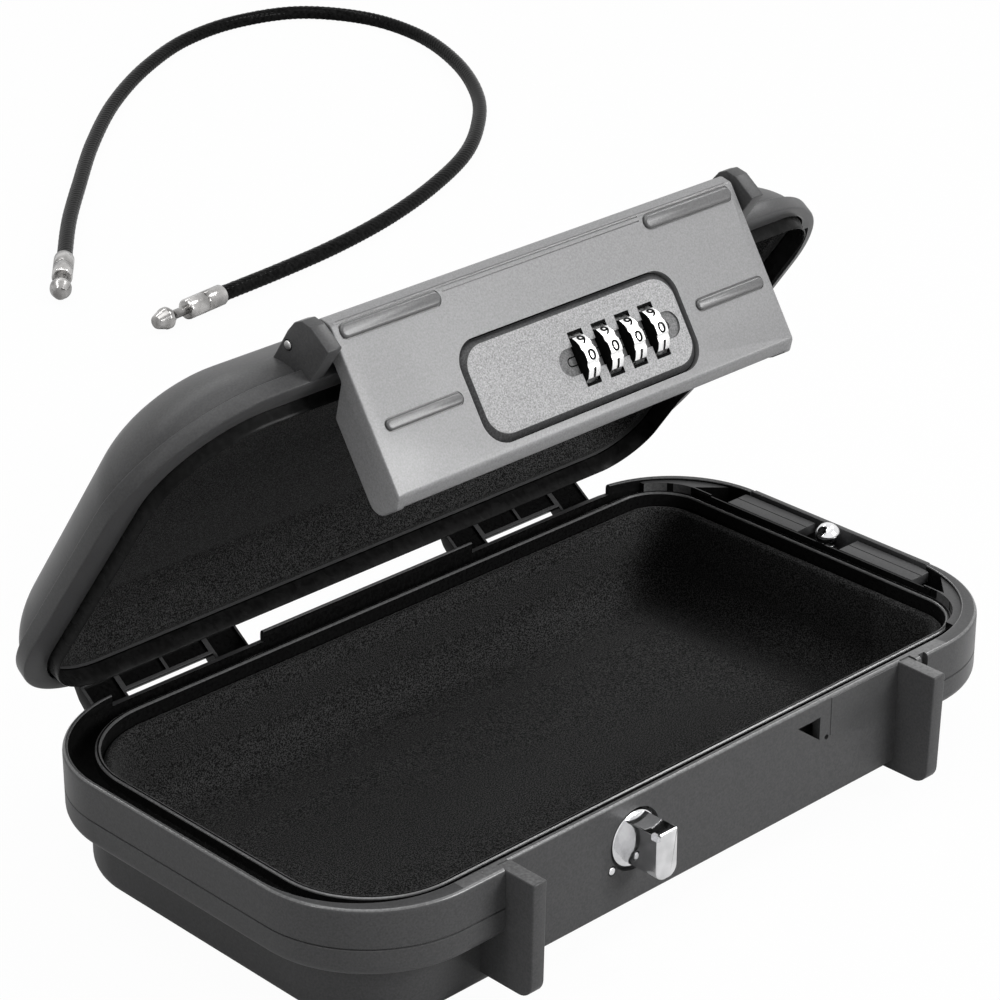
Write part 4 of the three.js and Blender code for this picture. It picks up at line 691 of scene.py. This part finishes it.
# Cover pin and latch cover: a silver-grey flap moulded in one, whose barrel turns on a long steel pin
# between the lid's ears. Raised ribs stiffen its face and a rounded window takes the lock.
FACE = -76.75
SIDE = 70.5
COVER_TOP = 53.43
RIBS = [(23.6, 1.5, 0.7, -66, -41), (23.6, 1.5, 0.7, 42.5, 67.5), (48.4, 1.9, 0.8, -68.5, -36),
        (48.4, 1.9, 0.8, 36, 68.5)]
MOAT = 0.35
TOP_LINES = [(49.3, 0.3), (50.5, 0.35)]
pin_steel = surfaced("drawn_steel", (0.5, 0.5, 0.5), 0.3, 1.0, gloss=(400, 4, 0.2, 0.42),
                     tint=(200, 3, (0.36, 0.36, 0.36), (0.62, 0.62, 0.61)), grain=(2600, 0.01, 0.5))
long_pin = opened(bar(circle(1.2, COVER_PIN, 24), "x", -76.9, 76.9, 0.35))
finished(long_pin, "long_pin", "cover_pin", [pin_steel], ["cover_pin"])
cover_grey = moulded("silver_grey_abs", (0.15, 0.15, 0.152), (0.215, 0.215, 0.218), (0.34, 0.42), 2600, 0.006,
                     0.5, 0.5)
# A darker copy of the cover's grey for the ribs and the moats and lines cut round them: painted shade.
rib_shade_grey = moulded("silver_grey_painted_shade", (0.07, 0.07, 0.071), (0.11, 0.11, 0.111), (0.26, 0.34), 2600, 0.006,
                   0.5, 0.5)
skin = rounded([(-74.05, 3.8), (FACE, 6.5), (FACE, 50.93), (-74.25, COVER_TOP), (-66.45, COVER_TOP),
                (-66.45, 47.43), (-67.95, 47.43), (-69.25, 49.43), (-73.35, 51.23), (-74.75, 49.83),
                (-74.75, 7.8), (-72.45, 5.0)],
               [1.2, 1.6, 1.6, 1.6, 0.45, 0.45, 0.45, 0.8, 0.8, 0.8, 1.2, 0.45], 4)
cheek = rounded([(-74.05, 3.8), (-65, 3.8), (-65, 30), (-72.45, 37.4), (-72.45, 42.43), (-67.45, 47.43),
                 (-66.45, COVER_TOP), (-74.25, COVER_TOP), (FACE, 50.93), (FACE, 6.5)],
                [1.2, 4, 1.5, 1.5, 1.5, 1.5, 0.45, 1.6, 1.6, 1.6], 5)
cover = bar(skin, "x", -SIDE, SIDE, 0.4)
ribs, moats = [], []
for z, half, proud, x0, x1 in RIBS:
    rib_outline = box_outline(x0, x1, z - half, z + half, half - 0.01, 8)
    ribs.append(bar(rib_outline, "y", FACE - proud, FACE + 0.6, 0.0, proud * 0.98, 5))
    moat_outline = box_outline(x0 - MOAT, x1 + MOAT, z - half - MOAT, z + half + MOAT, half + 0.3, 8)
    moats.append(bar(moat_outline, "y", FACE - 1, FACE + 0.25))
moats += [bar(box_outline(-34.6, 34.6, z, z + 0.3), "y", FACE - 1, FACE + depth) for z, depth in TOP_LINES]
combine(cover, "DIFFERENCE", *moats)
combine(cover, "UNION", bar(cheek, "x", -SIDE, -68, 0.4), bar(cheek, "x", 68, SIDE, 0.4),
        bar(circle(3, COVER_PIN), "x", -SIDE, SIDE, 0.3), *ribs)
window = box_outline(-38.3, 38.3, 8.9, 36.3, 7, 10)
screw_holes = [bar(circle(1.3, (x, z), 24), "y", FACE + 0.7, FACE + 4)
               for x in (-41.6, 41.6) for z in (14, 31)]
combine(cover, "DIFFERENCE", bar(window, "y", FACE - 1, FACE + 3.5),
        bar(circle(COVER_BORE_R, COVER_PIN), "x", -72, 72), *screw_holes)
x, y, z = face_places(cover)[0]
# The ribs and the moats and lines cut round them take the darker grey: painted shade.
proud_of_face = y < FACE - 0.03
in_moat = (y > FACE + 0.02) & (y < FACE + 0.36) & (z > 10) & (z < 52) & (np.abs(x) < 69)
finished(folded(cover), "cover_moulding", "latch_cover", [cover_grey, rib_shade_grey], ["latch_cover"])
painted(cover, proud_of_face | in_moat)

# Lock panel: a grey ABS plate with a coarse spark-eroded face and a bevelled border, let into the cover's
# window. Four slots let the dials through, over a long shallow groove.
DIAL_X = (0.2, 8.6, 17.0, 25.4)
DIAL_Z = 21.8
AXLE = (-72.45, DIAL_Z)
LOCK_FACE = -76.9
LOCK_HALF_W, LOCK_HALF_H = 38, 13.4
BORDER = [(0, -74.95), (0, -75.3), (0.1, -75.42), (1.45, -76.72), (1.65, -76.86), (1.9, LOCK_FACE)]
panel_grey = moulded("eroded_grey_abs", (0.17, 0.17, 0.172), (0.4, 0.4, 0.404), (0.45, 0.6), 3000, 0.05, 0.8)
# A darker copy of the eroded grey for the groove's floor and walls: painted shade.
groove_shade_grey = moulded("eroded_groove_painted_shade", (0.06, 0.06, 0.061), (0.17, 0.17, 0.172), (0.42, 0.55), 2600,
                      0.03, 0.7)
# A near-black for the slots' walls, the blocks at their ends, the thin ring cut in the groove and the wheels'
# sides: painted shade.
slot_shade_black = moulded("slot_painted_shade_abs", (0.003, 0.003, 0.003), (0.006, 0.006, 0.006), (0.5, 0.6), 1500,
                     0.01, 0.3, 0.01)
# A darker copy of the eroded grey for the bevelled border and the panel's other sides: painted shade.
border_shade_grey = moulded("eroded_painted_shade_abs", (0.015, 0.015, 0.0155), (0.06, 0.06, 0.062), (0.42, 0.55), 2600,
                      0.03, 0.7)
panel_outline = box_outline(-LOCK_HALF_W, LOCK_HALF_W, 9.2, 36, 7, 12)
panel_middle = np.array([0, 22.6])
rings = []
for width, y in BORDER:
    share = 1 - np.array([width / LOCK_HALF_W, width / LOCK_HALF_H])
    drawn_in = panel_middle + (panel_outline - panel_middle) * share
    rings.append(np.column_stack([drawn_in, np.full(len(drawn_in), y)])[:, (0, 2, 1)])
panel = solid(rings)
combine(panel, "DIFFERENCE", bar(box_outline(-8.3, 34.5, 18.2, 25.4, 3.55, 10), "y", -79, -76.35, 0.25, 0.0))
combine(panel, "DIFFERENCE", combine(
    bar(box_outline(-5.2, 31.4, 20.5, 23.1, 1.25, 8), "y", -77, -75.9), "DIFFERENCE",
    bar(box_outline(-4.85, 31.05, 20.85, 22.75, 0.9, 8), "y", -79, -75)))
combine(panel, "DIFFERENCE", *[block(x - 2.55, x + 2.55, -79, -73, 14.5, 29.1) for x in DIAL_X],
        block(-32.6, -24, -75.75, -73, 11.2, 33.7))
# Black blocks at the top and bottom of each slot, curved round the wheel, hide the lands beyond the one that
# shows: a painted shadow.
shadow_blocks = []
for x in DIAL_X:
    for z0, z1 in ((14.3, 15.55), (28.05, 29.3)):
        shadow_blocks.append(combine(block(x - 2.7, x + 2.7, -76.74, -75.9, z0, z1), "DIFFERENCE",
                               bar(circle(7.75, AXLE, 120), "x", -4, 30)))
combine(panel, "UNION", *shadow_blocks)
# The face keeps the light grey; the slots and the deep ring in the groove take the near-black, the groove the
# darker grey and all else the dark border grey: painted shade.
x, y, z = face_places(panel)[0]
in_slot = (np.abs(np.array(DIAL_X)[:, None] - x).min(0) < 2.62) & (z > 14.2) & (z < 29.4)
in_groove = (x > -8.4) & (x < 34.6) & (z > 18.1) & (z < 25.5)
on_face = y < LOCK_FACE + 0.05
finished(folded(panel), "lock_plate", "latch_cover",
         [panel_grey, border_shade_grey, groove_shade_grey, slot_shade_black], ["lock_panel"])
painted(panel, np.select([on_face, in_slot, in_groove & (y > -76.3), in_groove], [0, 3, 3, 2], 1))

# Dials: four zinc wheels, chrome plated, each with ten raised lands that carry black numerals; they show
# nought, with nine above and one below.
DIAL_R = 7.6
NICK = 0.34
INK_PROUD = 0.06
NUMERAL_SIZE = 4.0
NUMERAL_WIDTH = 1.25
ink, tree, shader, place = nodes_of("numeral_black", (0.004, 0.004, 0.004), 0.4)
tree.links.new(spread(tree, noise(tree, place, 500), 0.5, 0.7), shader.inputs["Roughness"])
shader.inputs["Specular IOR Level"].default_value = 0.05
satin_chrome = surfaced("satin_chrome", (0.93, 0.93, 0.93), 0.3, 1.0, gloss=(700, 3, 0.24, 0.36),
                        tint=(300, 3, (0.88, 0.88, 0.88), (0.97, 0.97, 0.97)), grain=(1800, 0.006, 0.3))


def numeral(text, size):
    """A numeral as points and faces, cut into level strips so that it can bend round a wheel."""
    curve = bpy.data.curves.new("numeral", "FONT")
    curve.body, curve.size, curve.align_x, curve.align_y, curve.offset = text, size, "CENTER", "CENTER", 0.08
    letter = bpy.data.objects.new("numeral", curve)
    bpy.context.scene.collection.objects.link(letter)
    mesh = bpy.data.meshes.new_from_object(letter.evaluated_get(bpy.context.evaluated_depsgraph_get()))
    bpy.data.objects.remove(letter)
    work = bmesh.new()
    work.from_mesh(mesh)
    for level in np.linspace(-size / 2, size / 2, 13):
        bmesh.ops.bisect_plane(work, geom=work.verts[:] + work.edges[:] + work.faces[:],
                               plane_co=(0, level, 0), plane_no=(0, 1, 0))
    bmesh.ops.reverse_faces(work, faces=[face for face in work.faces if face.normal.z < 0])
    work.to_mesh(mesh)
    work.free()
    co = np.zeros(len(mesh.vertices) * 3)
    mesh.vertices.foreach_get("co", co)
    faces = [list(face.vertices) for face in mesh.polygons]
    flat = co.reshape(-1, 3)[:, :2]
    return flat - (flat.min(0) + flat.max(0)) / 2, faces


DIGITS = [numeral(str(n), NUMERAL_SIZE) for n in range(10)]


def land_radius(angle):
    """Ten lands: the radius holds over each numeral and falls by a third of a millimetre in the nicks."""
    return DIAL_R - NICK * (1 - np.clip(3.04 * np.cos(10 * angle) + 2.04, -1, 1)) / 2


def round_axle(radius, angle):
    """The y and z of points at a radius about the dials' axle, from the front of the dial upward."""
    return np.column_stack([AXLE[0] - radius * np.cos(angle), AXLE[1] + radius * np.sin(angle)])


for number, x in enumerate(DIAL_X, 1):
    angle = np.arange(360) * 2 * np.pi / 360
    wheel = combine(bar(round_axle(land_radius(angle), angle), "x", x - 2.1, x + 2.1, 0.25), "DIFFERENCE",
                    bar(circle(2.5, AXLE), "x", x - 4, x + 4))
    facing_x = face_places(wheel)[1][0]
    finished(folded(wheel), f"dial_wheel_{number}", f"dial_{number}", [satin_chrome, slot_shade_black],
             [f"dial_{number}"], 40)
    # The wheel's flat sides, down in the slot, take the near-black: painted shade.
    painted(wheel, np.abs(facing_x) > 0.9)
    points, faces, start = [], [], 0
    for n, (flat, polygons) in enumerate(DIGITS):
        turned = -n * np.pi / 5 + flat[:, 1] / DIAL_R
        points.append(np.column_stack([x + flat[:, 0] * NUMERAL_WIDTH,
                                       round_axle(land_radius(turned) + INK_PROUD, turned)]))
        faces += [[start + v for v in polygon] for polygon in polygons]
        start += len(flat)
    mesh = bpy.data.meshes.new("numerals")
    mesh.from_pydata((np.vstack(points) * 0.001).tolist(), [], faces)
    printed = bpy.data.objects.new("numerals", mesh)
    bpy.context.scene.collection.objects.link(printed)
    finished(folded(printed), f"numerals_{number}", f"dial_{number}", [ink])
    printed.data.shade_flat()

# Parts behind the faces: the lock housing, its screws, axle and sleeves, the springs, the bolt, the hinge
# pins and the catch's washer and nut stay as they were drawn, and take their finishes here.
housing_black = moulded("housing_black_nylon", (0.01, 0.01, 0.01), (0.02, 0.02, 0.02), (0.45, 0.6), 1500,
                        0.03, 0.5)
for name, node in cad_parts.items():
    if node.hide_render:
        continue
    node.material_slots[0].material = housing_black if name == "lock_housing" else pin_steel

# Floor and light: a pale sweep under the safe, a soft sky of even white, a wide lamp overhead, a small one
# high on the right, a box low at the right front that the cover's face mirrors, and two tubes, left and
# rear, that draw bright lines on edges.
SWEEP_R = 9
SWEEP_Z = -0.0002
GLOW_SHARE = 0.97
floor_mesh = bpy.data.meshes.new("sweep")
edge = circle(SWEEP_R, (0, 0), 96)
floor_mesh.from_pydata(np.column_stack([edge, np.full(96, SWEEP_Z)]).tolist(), [], [list(range(96))])
sweep = bpy.data.objects.new("sweep", floor_mesh)
bpy.context.scene.collection.objects.link(sweep)
paper, tree, shader, place = nodes_of("pale_paper", (0.6, 0.6, 0.6), 0.95)
glow = tree.nodes.new("ShaderNodeEmission")
seen = tree.nodes.new("ShaderNodeLightPath")
blend = tree.nodes.new("ShaderNodeMixShader")
share = tree.nodes.new("ShaderNodeMath")
share.operation = "MULTIPLY"
share.inputs[1].default_value = GLOW_SHARE
tree.links.new(seen.outputs["Is Camera Ray"], share.inputs[0])
tree.links.new(share.outputs[0], blend.inputs["Fac"])
tree.links.new(shader.outputs["BSDF"], blend.inputs[1])
tree.links.new(glow.outputs["Emission"], blend.inputs[2])
tree.links.new(blend.outputs["Shader"], tree.nodes["Material Output"].inputs["Surface"])
floor_mesh.materials.append(paper)

sky = bpy.data.worlds.new("studio")
bpy.context.scene.world = sky
sky.use_nodes = True
tree = sky.node_tree
light = tree.nodes["Background"]
light.inputs["Color"].default_value = (1, 1, 1, 1)
path = tree.nodes.new("ShaderNodeLightPath")
seen = path.outputs["Is Camera Ray"]
for ray in ("Is Glossy Ray", "Is Transmission Ray"):
    either = tree.nodes.new("ShaderNodeMath")
    either.operation = "MAXIMUM"
    tree.links.new(seen, either.inputs[0])
    tree.links.new(path.outputs[ray], either.inputs[1])
    seen = either.outputs[0]
strength = tree.nodes.new("ShaderNodeMapRange")
strength.inputs["To Min"].default_value = 0.3
strength.inputs["To Max"].default_value = 1.0
tree.links.new(seen, strength.inputs["Value"])
tree.links.new(strength.outputs["Result"], light.inputs["Strength"])


def softbox(name, spot, aim, width, height, watts):
    """A flat lamp that faces a point."""
    lamp = bpy.data.lights.new(name, "AREA")
    lamp.shape, lamp.size, lamp.size_y, lamp.energy = "RECTANGLE", width, height, watts
    stand = bpy.data.objects.new(name, lamp)
    stand.location = spot
    stand.rotation_euler = (Vector(aim) - Vector(spot)).to_track_quat("-Z", "Y").to_euler()
    bpy.context.scene.collection.objects.link(stand)


softbox("overhead_box", (-0.3, -0.05, 1.6), (0, 0, 0.05), 1.3, 1.3, 11)
softbox("right_strip", (1.05, -0.15, 1.25), (0, 0, 0.05), 0.5, 0.35, 7)
softbox("right_front_box", (0.50, -1.0, 0.62), (0, 0, 0.1), 0.5, 0.5, 11)
softbox("left_tube", (-1.2, 0.0, 1.1), (0, 0, 0.05), 0.02, 1.6, 3.5)
softbox("rear_tube", (0.1, 1.3, 1.3), (0, 0, 0.05), 1.6, 0.12, 7)
bpy.context.scene.view_settings.view_transform = "Standard"
